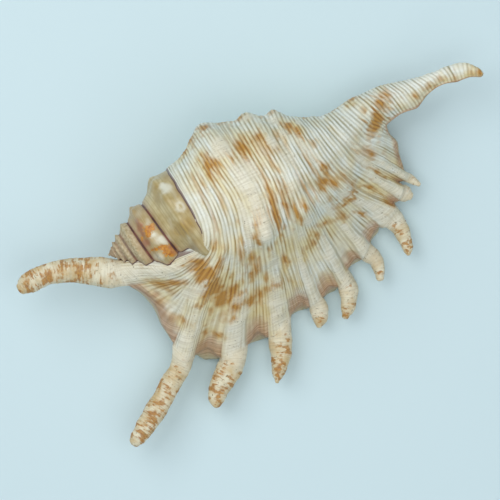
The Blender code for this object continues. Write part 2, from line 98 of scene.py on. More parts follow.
# The outline of the body on the side away from the lip.
SIDE = [
    (-19.5, -21.2, 12.7, 21), (-17.5, -18.4, 13.4, 21), (-14, -15.2, 15, 21), (-9, -11.6, 17.6, 21),
    (-2, -6, 19, 21), (2, -0.5, 18, 20.8), (6, 4, 16.6, 20.5), (10.5, 9, 15, 20.2),
    (14.5, 13.2, 13.4, 19.5), (20, 18.2, 11.4, 17.5), (26, 23.4, 9, 16), (29.5, 26.8, 8, 15.2),
    (34.5, 31.7, 8.5, 14.5), (39, 36.7, 9.4, 14), (46, 44, 9.3, 13.6), (51, 49, 8.4, 13.6),
    (56, 54.5, 7.2, 14), (61.5, 60.5, 6.6, 15.2), (66.5, 66.6, 6, 17), (70, 71, 4.6, 18),
    (74.5, 74.6, 1.1, 18.2),
]
# The crest of the back.
CREST = [
    (-19.5, -19.5, -3, 39.5), (-17.5, -17.5, -3, 40.5), (-14, -14, -3, 41.6), (-9, -9, -3, 43),
    (-2, -2, -3, 43.6), (6, 6, -3, 42.4), (10.5, 10.5, -3, 41), (14.5, 14.5, -2.5, 39),
    (20, 20, -2, 35.4), (26, 26, -1, 31.2), (29.5, 29.5, 0, 28.6), (34.5, 34.5, 1.6, 24.8),
    (39, 39, 3.4, 21.8), (46, 46, 5, 18.6), (51, 51, 4.6, 17.6), (56, 56, 4.4, 17),
    (61.5, 61.5, 4.6, 17.5), (66.5, 66.6, 4, 18.8), (70, 70.4, 2.9, 19.4), (74.5, 74.5, 0.3, 19.1),
]
# The shoulder of the lip's side, before the back slopes down.
SHOULDER = [
    (-19.5, -22.6, -12.6, 35.4), (-17.5, -20.5, -13, 36.4), (-14, -16, -14.5, 37.4), (-9, -11, -14.5, 38.6),
    (-2, -3, -15, 39.2), (6, 5, -14, 37.8), (10.5, 10.5, -13, 36.4), (14.5, 15.5, -11.5, 34.4),
    (20, 22, -10, 30.6), (26, 28, -7.6, 26.6), (29.5, 31.4, -5.4, 24.6), (34.5, 36, -1.8, 22.2),
    (39, 40, 1, 20.4), (46, 46.5, 3.2, 18), (51, 51.5, 2.6, 17.1), (56, 56.4, 3.3, 16.7),
    (61.5, 61.7, 3.7, 17.2), (66.5, 66.7, 2.9, 18.5), (70, 70.1, 2.1, 19.1), (74.5, 74.4, -0.3, 19),
]
# The foot of that slope, where the lip flattens out.
SLOPE = [
    (-19.5, -32, -12.4, 28.6), (-17.5, -32, -15, 28), (-14, -28, -26, 23), (-9, -16.5, -28.5, 21),
    (-2, -6, -28, 21), (6, 3.2, -27.5, 18.6), (10.5, 10.8, -25.5, 17.6), (14.5, 18.4, -22.8, 16.6),
    (20, 27, -19.6, 15.6), (26, 33, -15.2, 15), (29.5, 36.4, -12.2, 15.4), (34.5, 39.5, -4.8, 17.6),
    (39, 41.2, -0.9, 18), (46, 47, 1.3, 16.8), (51, 52, 0.6, 16), (56, 56.7, 2.2, 15.9),
    (61.5, 61.9, 2.8, 16.6), (66.5, 66.7, 1.9, 18), (70, 69.9, 1.3, 18.6), (74.5, 74.2, -0.8, 18.8),
]
print("guide lines of the body:", 6)

# %% [markdown]
# The lip flares far out from the body. Its rim has a wall a few millimetres high, with the last
# growth step standing out as a paler margin between the fingers, and it turns under to the throat,
# where the hollow of the opening begins.

# %% guide lines of the lip
# The rim of the lip: X, Y, height of its underside. Two keys stand at each finger's sides.
RIM = [
    (-19.5, -45, -5.6, 16), (-16.6, -45.6, -13.8, 15.2), (-16.2, -43, -18, 13.4), (-15.8, -41.4, -23.6, 11),
    (-15.5, -41.6, -28.6, 8.6), (-15.2, -41, -34.6, 6), (-12.8, -36.8, -40.4, 4), (-11.6, -32.8, -40, 1.4),
    (-10.6, -30.6, -44.2, 2.4), (-7.4, -21.6, -44, 2), (-5.9, -17.4, -42, 0), (-4.3, -15, -44.6, 1.6),
    (0.2, -6.2, -41.6, 1.4),
    (2.6, -2.2, -39.6, -0.2), (4.9, -0.4, -41.6, 1.2), (7.1, 4.4, -40.6, 1.2), (8.2, 7.6, -38.8, -0.2),
    (9.2, 9.8, -39.6, 1.2), (11.9, 14.6, -36, 1.4), (12.7, 18, -34.2, -0.2), (13.5, 19.4, -35.2, 1.4),
    (15.7, 24, -31.6, 1.6), (16.9, 26.4, -29.2, 0.4), (18.1, 28.2, -28.6, 1.6), (21.8, 35, -24.8, 2.4),
    (23.2, 34.8, -23.4, 2), (24.7, 36.6, -23.8, 2.8), (27.2, 39.6, -20.2, 3.4), (27.8, 38.9, -19, 3.2),
    (28.5, 40.2, -19.2, 3.8), (30.8, 41.8, -16.4, 4.6), (33, 42.4, -11.4, 6), (34.8, 43.2, -8, 7.6),
    (36.6, 42.2, -5, 9.6), (39, 42.4, -2.6, 11.8), (42, 44.6, -1.6, 12), (46, 47.6, -0.8, 11.8),
    (51, 52.4, -1.4, 12), (53.5, 54.6, -0.4, 12.2), (56, 57, 0.9, 12.6), (61.5, 62, 1.9, 14.2),
    (66.5, 66.7, 0.8, 16), (70, 69.8, 0.5, 17.2), (74.5, 74, -1.4, 17.6),
]
# Place, height of the rim's outer wall, how far its lower margin stands out beyond the top.
RIM_WALL = [
    (-19.5, 3.6, 0.2), (-16.6, 4, 0.2), (-15.8, 4.2, 0.8), (-15.2, 4.8, 0.3), (-12.8, 5, 0.3),
    (-11.6, 6, 3.6), (-10.6, 5, 0.3), (-7.4, 5, 0.3), (-5.9, 6, 2.6), (-4.3, 5, 0.3), (0.2, 5, 0.3),
    (2.6, 6, 2.2), (4.9, 5, 0.3), (7.1, 4.8, 0.3), (8.2, 5.6, 1.6), (9.2, 4.8, 0.3), (11.9, 4.8, 0.3),
    (12.7, 5.4, 1.4), (13.5, 4.8, 0.3), (15.7, 4.6, 0.3), (16.9, 5.4, 1.2), (18.1, 4.6, 0.3),
    (21.8, 4.4, 0.2), (23.2, 4.6, 0.6), (24.7, 4, 0.2), (27.2, 3.4, 0.2), (27.8, 3.4, 0.3),
    (28.5, 3, 0.2), (30.8, 3, 0.2), (34.8, 3, 0.3), (39, 2.4, 0), (46, 2.2, 0), (56, 1.8, 0.1),
    (66.5, 1, 0.1), (74.5, 0.6, 0.1),
]
# The rim's wall from its top edge to its underside: share out to the margin, share up.
RIM_PROFILE = [(0.12, 0.7), (0.55, 0.42), (1.0, 0.14)]
# The lip's inner edge, where its underside turns up into the opening.
THROAT = [
    (-19.5, -27.6, -11, 13), (-14, -20.5, -15.6, 11), (-9, -13.5, -18.4, 9.6), (-2, -5.5, -19.4, 9),
    (6, 3, -18.6, 8.4), (14.5, 16, -15, 7.8), (20, 23, -12.2, 7.6), (26, 28.6, -9.2, 7.8),
    (29.5, 33, -6.8, 8.6), (34.5, 37.4, -3.6, 10), (39, 41.2, -0.6, 11.6), (46, 46.9, 1, 12.2),
    (51, 51.8, 0.6, 12.6), (56, 56.4, 1.9, 13), (61.5, 61.8, 2.6, 14.6), (66.5, 66.7, 1.5, 16.4),
    (70, 69.8, 1, 17.5), (74.5, 74, -0.7, 17.3),
]
# Place, height of the hollow's roof under the back, share of the way the hollow reaches inwards.
HOLLOW = [
    (-19.5, 16, 0.1), (-14, 24, 0.6), (-9, 31, 1), (-2, 34, 1), (6, 33, 1), (14.5, 30, 1),
    (20, 26, 1), (26, 22, 0.9), (29.5, 20, 0.8), (34.5, 17.6, 0.5), (39, 16, 0.3), (46, 14.8, 0.2),
    (51, 14.2, 0.15), (56, 14.4, 0.1), (61.5, 15.4, 0.1), (66.5, 16.9, 0.05), (70, 17.5, 0),
    (74.5, 17.8, 0),
]
print("the rim of the lip passes", len(RIM), "keys")

# %% [markdown]
# Ten fingers end the ridges of the back. Each is a tapered tube that starts from the rim's wall
# and follows a short curved row of rings, read from the photo in plan. A tube lofted from the
# rim's own points joins the lip without a seam, which a separate cone pushed in would not.

# %% the fingers
# Fingers: first and last rib place, then X, Y, Z, width and height of each ring down to the tip.
FINGERS = {
    "hind": (-19.5, -16.6, [
        (-48.6, -8.2, 18.6, 8.6, 8.2), (-54, -5.4, 18.4, 8, 7.6), (-60.4, -2.4, 18.2, 6.9, 6.6),
        (-67.2, -0.8, 18.4, 6.6, 6), (-72.2, -1, 18.8, 6.4, 5.4), (-74.8, -1.6, 19, 4, 3.2),
    ]),
    "long": (-15.2, -12.8, [
        (-42.6, -42.2, 8.2, 6.6, 6), (-46.4, -45, 8.6, 6.3, 5.6), (-51.8, -49, 9.4, 6.4, 5.6),
        (-57.4, -52.7, 10.6, 6, 5.2), (-62.2, -55.8, 11.6, 5.2, 4.6), (-63.6, -56.6, 11.8, 3.4, 3),
    ]),
    "third": (-10.6, -7.4, [
        (-28.4, -47.6, 6.4, 8.4, 7), (-31.6, -50.4, 6.6, 7.4, 6.4), (-34.4, -52.6, 7.2, 6.4, 5.6),
        (-36.6, -55.6, 7.8, 4, 3.8), (-37.2, -56.8, 8, 2, 2),
    ]),
    "fourth": (-4.3, 0.2, [
        (-12, -46.8, 6, 7.2, 6.6), (-13.4, -50.2, 6, 6.4, 5.8), (-15.2, -53.4, 6.4, 4.9, 4.6),
        (-17.2, -56.2, 7, 3.2, 3), (-18.3, -58, 7.2, 1.2, 1.2),
    ]),
    "fifth": (4.9, 7.1, [
        (2, -42.8, 5, 5.4, 5.2), (1.5, -45, 5, 4.7, 4.6),
        (0.7, -46.9, 5.2, 3.6, 3.6), (0, -48.2, 5.4, 1.8, 1.8),
    ]),
    "sixth": (9.2, 11.9, [
        (12.3, -41.6, 5, 5.6, 5.4), (11.4, -44.4, 5.2, 5, 4.8),
        (9.8, -46.8, 5.6, 4, 3.8), (8, -48.8, 6, 1.8, 1.8),
    ]),
    "seventh": (13.5, 15.7, [
        (22.3, -34.9, 5, 5.6, 5), (23.2, -37.6, 5.2, 4.2, 4),
        (23, -40.2, 5.6, 3.2, 3), (22.2, -42.8, 6, 1.6, 1.6),
    ]),
    "eighth": (18.1, 21.8, [
        (33, -28.8, 5.2, 6.4, 5.8), (33.7, -32.2, 5.4, 5.2, 4.8), (33.7, -35.4, 5.8, 4.1, 3.8),
        (33.2, -38, 6.2, 2.8, 2.6), (32.7, -39.6, 6.3, 1.2, 1.2),
    ]),
    "ninth": (24.7, 27.2, [
        (38.5, -22.2, 5.6, 5, 4.2), (39.4, -23.3, 5.8, 4.6, 3.8), (40.2, -24.2, 6, 2.4, 2.2),
    ]),
    "tenth": (28.5, 30.8, [(42.1, -19, 6, 3, 2.8), (43, -20.4, 6.1, 2.2, 2.1), (44.2, -22.2, 6.3, 1, 1)]),
}
print("fingers:", len(FINGERS))

# %% [markdown]
# Blunt knobs stand where the ribs swell on the shoulder. They are lumps of known reach and height
# that push the surface out, so the ribs run over them as they do on the real shell.

# %% ridges and knobs
# Each finger is the end of a ridge that winds round the back. Way round the back (0 the pillar,
# 1 the belly, 2 the side, 3 the crest, 4 the shoulder, 5 the slope, 6 the rim), then the height.
RIDGES = [(1.6, 0), (2, 0.15), (3, 0.25), (4, 0.5), (5, 1.3), (5.6, 2.2), (6, 2.8)]

# Knobs and lumps: rib place, way round, half length along X, half width round the back, height.
KNOBS = [
    (-4, 2.02, 3.6, 0.34, 1.7), (-3.5, 2.5, 4, 0.26, 2.2), (-2.5, 4.05, 3.6, 0.3, 3.6),
    (-4.5, 4.75, 2.8, 0.2, 1.3), (8, 2.05, 2.4, 0.26, 2.2), (9, 2.6, 2.6, 0.24, 1.3),
    (10.5, 4.15, 2.4, 0.24, 1.7), (15.2, 2.02, 2.6, 0.26, 2.5), (19.5, 2.45, 2.4, 0.22, 0.9),
    (15.5, 4.3, 2.2, 0.22, 1.2), (20.2, 4.3, 2.2, 0.22, 1),
    (-16.1, 5.86, 0.35, 0.14, 1.3), (-15.5, 5.8, 0.25, 0.14, 1),
]
print("knobs:", len(KNOBS))

# %% [markdown]
# Smooth curves through a few points are needed everywhere. Splines that overshoot would make the
# rim wave between two close keys, so this is the kind that stays between its keys.

# %% curves
def along(keys, places):
    """The guide values at each place, on a smooth curve that never overshoots its keys."""
    table = np.array(keys, float)
    known, values = table[:, 0], table[:, 1:]
    gaps = np.diff(known)[:, None]
    slopes = np.diff(values, axis=0) / gaps
    before, after = slopes[:-1], slopes[1:]
    early, late = 2 * gaps[1:] + gaps[:-1], gaps[1:] + 2 * gaps[:-1]
    same_way = before * after > 0
    safe_before, safe_after = np.where(same_way, before, 1), np.where(same_way, after, 1)
    tangents = np.vstack([
        slopes[:1],
        np.where(same_way, (early + late) / (early / safe_before + late / safe_after), 0),
        slopes[-1:],
    ])
    places = np.clip(np.atleast_1d(np.asarray(places, float)), known[0], known[-1])
    cell = np.clip(np.searchsorted(known, places, side="right") - 1, 0, len(gaps) - 1)
    step = gaps[cell]
    share = (places - known[cell])[:, None] / step
    return (
        (2 * share**3 - 3 * share**2 + 1) * values[cell]
        + (share**3 - 2 * share**2 + share) * step * tangents[cell]
        + (3 * share**2 - 2 * share**3) * values[cell + 1]
        + (share**3 - share**2) * step * tangents[cell + 1]
    )


def through(points, count):
    """count points, evenly spread, on a smooth curve through the points."""
    points = np.asarray(points, float)
    lengths = np.maximum(np.linalg.norm(np.diff(points, axis=0), axis=1), 1e-6)
    stops = np.concatenate([[0], np.cumsum(np.sqrt(lengths))])
    keys = [(stop, *point) for stop, point in zip(stops, points)]
    fine = along(keys, np.linspace(0, stops[-1], 160))
    travelled = np.concatenate([[0], np.cumsum(np.linalg.norm(np.diff(fine, axis=0), axis=1))])
    wanted = np.linspace(0, travelled[-1], count)
    return np.stack([np.interp(wanted, travelled, fine[:, i]) for i in range(3)], axis=1)


def quarter(side, top, degrees):
    """A point on the quarter ellipse from a side point, turned towards a top or bottom point."""
    angle = math.radians(degrees)
    plan = top[:2] + (side[:2] - top[:2]) * math.cos(angle)
    return np.array([*plan, side[2] + (top[2] - side[2]) * math.sin(angle)])


print("the crest at place 0 is", along(CREST, [0])[0].round(1))

# %% [markdown]
# The ridges are highest on a finger's middle rib and vanish between fingers. The webs' margins
# stand out from the rim in one direction for each web, or they would fold over themselves.

# %% ridges, webs and swellings
OUTWARD_SPAN = 1.7  # how far on each side of a place its outward direction is measured
LIP_FROM = 4  # from this way round, swellings rise straight up and no more from the body's axis


def finger_share(place):
    """How far a rib is into a finger: 1 on its middle, 0 at its sides and between fingers."""
    best = 0.0
    for first, last, _ in FINGERS.values():
        off_centre = (place - (first + last) / 2) / ((last - first) / 2)
        best = max(best, 1 - off_centre**2)
    return best**0.7


def outward(place):
    """The level direction that points out of the rim at a place, the same all over a web."""
    ahead, behind = along(RIM, [place + OUTWARD_SPAN])[0], along(RIM, [place - OUTWARD_SPAN])[0]
    heading = ahead[:2] - behind[:2]
    normal = np.array([heading[1], -heading[0], 0.0])
    return normal / max(np.linalg.norm(normal), 1e-6)


def swollen(points, ways, place):
    """Ridges and knobs swell the back out from the body's own axis."""
    centre = np.stack([points[:, 0], np.full(len(points), -4.0), np.full(len(points), 20.0)], axis=1)
    out = points - centre
    out /= np.maximum(np.linalg.norm(out, axis=1), 1e-6)[:, None]
    lip = np.clip(ways - LIP_FROM, 0, 1)[:, None]
    out = out * (1 - lip) + np.array([0.0, 0.0, 1.0]) * lip
    height = np.interp(ways, *zip(*RIDGES)) * finger_share(place)
    for knob_place, knob_way, reach, reach_round, knob_height in KNOBS:
        off = ((place - knob_place) / reach) ** 2 + ((ways - knob_way) / reach_round) ** 2
        height += knob_height * np.exp(-off)
    return points + out * height[:, None]


print("the rim at place 0 looks out along", outward(0).round(2))

# %% [markdown]
# One rib is a closed line: the outer face, the rim's wall and the inner face back to the pillar.
# The back gets a point each millimetre or so, because that is where blotches and wrinkles show;
# the hidden inner face gets fewer.

# %% one rib as a closed line
CANAL_END = (73.1, 1.42)  # from this place the canal's tip rounds off, over this length
GUIDE_STEPS = (5, 8, 24, 9, 17, 22)
WALL_POINTS = 7
INNER_POINTS = 22
SPANS = [np.linspace(i, i + 1, steps + 1)[:-1] for i, steps in enumerate(GUIDE_STEPS)]
WAYS = np.concatenate([*SPANS, [len(GUIDE_STEPS)]])
CREST_COLUMN = int(np.searchsorted(WAYS, 3))
RIM_TOP = len(WAYS) - 1
RIM_FOOT = RIM_TOP + WALL_POINTS + 1
COLUMNS = RIM_FOOT + INNER_POINTS + 1


def section(place):
    """One closed growth line: the outer face, the rim's wall, then the inner face to the pillar."""
    pillar, belly, side, crest, shoulder, slope, rim, throat = (
        along(guide, [place])[0] for guide in (PILLAR, BELLY, SIDE, CREST, SHOULDER, SLOPE, RIM, THROAT)
    )
    wall_height, margin = along(RIM_WALL, [place])[0]
    roof, reach = along(HOLLOW, [place])[0]
    top = rim + (0, 0, wall_height)
    before_rim = slope * 0.35 + top * 0.65 - (0, 0, 0.12 * wall_height)
    callus = belly - pillar
    guides = [(0, *pillar), (0.6, *(pillar + callus * (0.6, 0.6, 0.96))), (1, *belly)]
    guides += [(1.25, *(belly + (side - belly) * (0.16, 0.16, 0.01))), (1.45, *quarter(side, belly, 50))]
    guides += [(1.7, *quarter(side, belly, 25))]
    guides += [(2, *side), (7 / 3, *quarter(side, crest, 30)), (8 / 3, *quarter(side, crest, 60))]
    guides += [(3, *crest), (4, *shoulder), (5, *slope), (5.65, *before_rim), (6, *top)]
    outer = swollen(along(guides, WAYS), WAYS, place)
    away = outward(place) * margin
    profile = [(0, 0, 1), *[(i + 1, out, up) for i, (out, up) in enumerate(RIM_PROFILE)], (4, 0.8, 0)]
    steps = along(profile, np.linspace(0, 4, WALL_POINTS + 2))
    wall = [rim + away * out + (outer[-1] - rim) * up for out, up in steps[1:-1]]
    start = rim + away * 0.8
    across = pillar - throat
    rise = np.array([0, 0, roof - throat[2]])
    inner = through([
        start,
        start * 0.45 + throat * 0.55 + (0, 0, 0.03 * np.linalg.norm(start - throat)),
        throat,
        throat + across * 0.06 + rise * 0.3,
        throat + across * 0.3 + rise,
        pillar + (0, 1.5 * reach, 0.86 * (roof - pillar[2])),
        pillar + (0, 0.9 * reach, 0.34 * (roof - pillar[2])),
        pillar,
    ], INNER_POINTS + 2)
    line = np.array([*outer, *wall, *inner[:-1]])
    rounded = math.sqrt(1 - max(0, (place - CANAL_END[0]) / CANAL_END[1]) ** 2)
    return line.mean(axis=0) * (1 - rounded) + line * rounded


print("points on a rib:", COLUMNS, "with", len(section(0)), "made")

# %% [markdown]
# Ribs stand about 1.1 mm apart on the crest, so the mesh needs five or six rows for each one.
# Near the spire the lip fans out and the same ribs spread far apart at the rim, so rows are
# closer there.

# %% the rows of the mesh
RIB_PITCH = 1.1
ROW_STEPS = [(-12.8, 0.047), (30.8, 0.185), (80, 0.235)]  # up to this place, the step between rows


def row_places():
    """The places of the mesh's rows, and the first and last row of each finger."""
    stops = [first for first, _, _ in FINGERS.values()] + [last for _, last, _ in FINGERS.values()]
    stops = sorted({*stops, RIM[-1][0]})
    places = [stops[0]]
    for start, end in zip(stops, stops[1:]):
        step = next(step for limit, step in ROW_STEPS if end <= limit)
        count = max(6, 2 * round((end - start) / step / 2))
        places.extend(np.linspace(start, end, count + 1)[1:])
    row_of = {round(place, 6): row for row, place in enumerate(places)}
    bands = {
        name: (row_of[round(first, 6)], row_of[round(last, 6)]) for name, (first, last, _) in FINGERS.items()
    }
    return np.array(places), bands


PLACES, BANDS = row_places()
GRID = np.array([section(place) for place in PLACES])
print("rows and columns:", GRID.shape[:2])

# %% [markdown]
# The skin of the body is a grid of four-sided faces, wrapped round from the pillar to the pillar.
# Windows are left open in the rim's wall, one for each finger.

# %% faces of the body
vertices = [GRID.reshape(-1, 3)]
faces = []
rows = len(PLACES)
index = np.arange(rows * COLUMNS).reshape(rows, COLUMNS)
beside = np.roll(index, -1, axis=1)
quads = np.stack([index[:-1], beside[:-1], beside[1:], index[1:]], axis=-1)
keep = np.ones(quads.shape[:2], bool)
for start, end in BANDS.values():
    keep[start:end, RIM_TOP:RIM_FOOT] = False
faces.extend(quads[keep].tolist())
# What is known of each point: its place, its way round (6 to 7 the wall, 7 to 8 the underside of the
# lip, 8 to 9 the hollow), how far along a finger it is in mm, and how far round that finger.
on_wall = 6 + np.arange(1, WALL_POINTS + 1) / (WALL_POINTS + 1)
on_inside = 7 + 2 * np.arange(INNER_POINTS + 1) / (INNER_POINTS + 1)
way_round = np.tile(np.concatenate([WAYS, on_wall, on_inside]), rows)
facts = [np.stack([np.repeat(PLACES, COLUMNS), way_round, 0 * way_round, 0 * way_round], axis=1)]
print("faces of the body:", len(faces))

# %% [markdown]
# A finger's first ring is the edge of its window. The next rings change from that shape to an
# ellipse over the finger's first few millimetres and then follow the finger's own curve.

# %% lofting the fingers
RING_STEP = 0.75
TIP_LENGTH = 0.3  # the rounded tip's length as a share of the last ring's width
# The top and the underside of a ring take 110 degrees each, and each side takes 70.
RING_CORNERS = (145, 35, -35, -145, -215)


def finger_path(root, rings):
    """Rings every RING_STEP mm: arc length, centre, width and height, from the root to the tip."""
    centres = np.vstack([root, [ring[:3] for ring in rings]])
    stops = np.concatenate([[0], np.cumsum(np.linalg.norm(np.diff(centres, axis=0), axis=1))])
    sizes = [rings[0][3:5], *[ring[3:5] for ring in rings]]
    keys = [(stop, *centre, *size) for stop, centre, size in zip(stops, centres, sizes)]
    count = max(4, round(stops[-1] / RING_STEP))
    arc = np.linspace(0, stops[-1], count + 1)[1:]
    return arc, along(keys, arc), stops[1]


def add_finger(name):
    """Lofts one finger from its window in the rim's wall."""
    start, end = BANDS[name]
    over = index[start:end + 1, RIM_TOP]
    far = index[end, RIM_TOP + 1:RIM_FOOT]
    under = index[start:end + 1, RIM_FOOT][::-1]
    near = index[start, RIM_TOP + 1:RIM_FOOT][::-1]
    ring = np.concatenate([over, far, under, near])
    count = len(ring)
    sides = [len(over) - 1, len(far) + 1, len(under) - 1, len(near) + 1]
    angles = np.radians(np.concatenate([
        np.linspace(a, b, steps + 1)[:-1] for a, b, steps in zip(RING_CORNERS, RING_CORNERS[1:], sides)
    ]))
    root = vertices[0][ring]
    centre = root.mean(axis=0)
    arc, path, reach = finger_path(centre, FINGERS[name][2])
    base = sum(len(block) for block in vertices)
    previous = ring
    middles = path[:, :3]
    place = (PLACES[start] + PLACES[end]) / 2
    ring_places = np.clip(np.concatenate([
        PLACES[start:end + 1], np.full(len(far), PLACES[end]), PLACES[start:end + 1][::-1],
        np.full(len(near), PLACES[start]),
    ]), PLACES[start], PLACES[end])
    rounds = []
    for i, (length, spot) in enumerate(zip(arc, path)):
        ahead = middles[min(i + 1, len(middles) - 1)]
        behind = middles[i - 1] if i else centre
        heading = (ahead - behind) / np.linalg.norm(ahead - behind)
        rounds.append((length, spot[:3], heading, spot[3], spot[4], 1.0))
    length, tip, heading, width, height, _ = rounds[-1]
    for turn in (25, 50, 70):
        angle = math.radians(turn)
        reached = TIP_LENGTH * width * math.sin(angle)
        rounds.append((length + reached, tip + heading * reached, heading, width, height, math.cos(angle)))
    for length, spot, heading, width, height, shrink in rounds:
        across = np.cross((0, 0, 1), heading)
        across /= np.linalg.norm(across)
        up = np.cross(heading, across)
        ellipse = np.outer(np.cos(angles) * width / 2 * shrink, across)
        ellipse += np.outer(np.sin(angles) * height / 2 * shrink, up)
        share = min(length / (1.15 * reach), 1)
        share = share * share * (3 - 2 * share)
        vertices.append(spot + (root - centre) * (1 - share) + ellipse * share)
        facts.append(np.stack([ring_places, np.full(count, 6.0), np.full(count, length), angles], axis=1))
        current = base + np.arange(count)
        base += count
        band = [previous, np.roll(previous, -1), np.roll(current, -1), current]
        faces.extend(np.stack(band, axis=1).tolist())
        previous = current
    vertices.append((tip + heading * TIP_LENGTH * rounds[-1][3])[None])
    facts.append(np.array([[place, 6.0, length, 0]]))
    faces.extend([[a, b, base] for a, b in zip(previous.tolist(), np.roll(previous, -1).tolist())])


for name in FINGERS:
    add_finger(name)
print("faces with the fingers:", len(faces))

# %% [markdown]
# The first rib lies inside the spire and the last one closes the canal's tip. Each is closed by
# zipping the outer half of the line to its inner half, always taking the shorter step.

# %% closing both ends
def end_cap(outer, inner):
    """Closes a growth line by zipping its outer points to its inner ones, shorter steps first."""
    spots = vertices[0]
    i, j = 0, 0
    while i < len(outer) - 1 or j < len(inner) - 1:
        outer_step = inner_step = math.inf
        if i < len(outer) - 1:
            outer_step = np.linalg.norm(spots[outer[i + 1]] - spots[inner[j]])
        if j < len(inner) - 1:
            inner_step = np.linalg.norm(spots[inner[j + 1]] - spots[outer[i]])
        if outer_step <= inner_step:
            faces.append([outer[i], outer[i + 1], inner[j]])
            i += 1
        else:
            faces.append([outer[i], inner[j + 1], inner[j]])
            j += 1


for row in (index[0], index[-1]):
    end_cap(row[:RIM_FOOT + 1].tolist(), row[:RIM_FOOT:-1].tolist())
body_points = np.concatenate(vertices)
body_facts = np.concatenate(facts)
print("points of the body:", len(body_points))

# %% [markdown]
# Relief needs to know which way is out at each point. Blender works that out from the faces.

# %% a mesh from points and faces
def mesh_from(name, points, faces):
    """A mesh whose faces all look outwards, with its points in millimetres."""
    mesh = bpy.data.meshes.new(name)
    mesh.from_pydata(points.tolist(), [], faces)
    skin = bmesh.new()
    skin.from_mesh(mesh)
    bmesh.ops.recalc_face_normals(skin, faces=skin.faces[:])
    skin.to_mesh(mesh)
    skin.free()
    return mesh


def normals_of(mesh):
    """The direction out of the surface at each point."""
    out = np.empty(len(mesh.vertices) * 3, np.float32)
    mesh.vertex_normals.foreach_get("vector", out)
    return out.reshape(-1, 3).astype(float)


body = mesh_from("body", body_points, faces)
body_out = normals_of(body)
print("a point of the crest looks up:", body_out[index[rows // 2, CREST_COLUMN]].round(2))

# %% [markdown]
# Spiral ribs: low rounded ribs about 1.1 mm apart with narrower grooves between them. Where the
# lip fans out a new rib starts between each two, so that they never stand far apart. That is
# done by comparing the spacing here with the usual one and mixing in twice as many ribs.

# %% ribs and grooves
def spread(values, low, high):
    """0 below low, 1 above high and a smooth change between them."""
    share = np.clip((values - low) / (high - low), 0, 1)
    return share * share * (3 - 2 * share)


def rough(points, size, seed=0.0):
    """Soft random lumps of about this size in mm, from -1 to 1."""
    shift = Vector((seed * 17.3, seed * 5.1, seed * 9.7))
    return np.array([noise.noise(Vector(point) / size + shift) for point in points])


def ribs(count, doublings):
    """Height from 0 to 1 of the ribs, for a rib number and how often it has doubled here."""
    level = np.floor(doublings)
    share = spread(doublings - level, 0.25, 0.75)
    heights = [(0.5 + 0.5 * np.cos(2 * math.pi * count * 2.0**step)) ** 0.5 for step in (level, level + 1)]
    return heights[0] * (1 - share) + heights[1] * share


# How far apart the ribs lie here, as a share of their distance on the crest, averaged over 24 rows.
SMOOTHED_ROWS = 24
gap = np.linalg.norm(np.diff(GRID, axis=0), axis=2) / np.diff(PLACES)[:, None]
gap = np.vstack([gap, gap[-1:]])
padded = np.pad(gap, ((SMOOTHED_ROWS // 2, SMOOTHED_ROWS // 2), (0, 0)), "edge")
summed = np.cumsum(padded, axis=0)
gap = (summed[SMOOTHED_ROWS:] - summed[:-SMOOTHED_ROWS])[:rows] / SMOOTHED_ROWS
doublings = np.log2(np.maximum(gap, 0.3))
all_doublings = np.concatenate([doublings.ravel(), np.zeros(len(body_points) - rows * COLUMNS)])
place, way, finger_mm, finger_angle = body_facts.T
on_finger = finger_mm > 0
all_doublings[on_finger] = np.where(place[on_finger] < FINGERS["long"][1], 2.6, 0.6)
rib_number = (place - PLACES[0]) / RIB_PITCH
rib_height = ribs(rib_number, all_doublings)
ribbed = spread(way, 1.55, 1.9) * (1 - spread(way, 5.98, 6.1))
on_top = spread(np.sin(finger_angle), 0.2, 0.7)
ribbed[on_finger] = ((1 - spread(finger_mm, 1, 7)) * on_top)[on_finger]
print("ribs on the crest:", int(rib_number.max()))
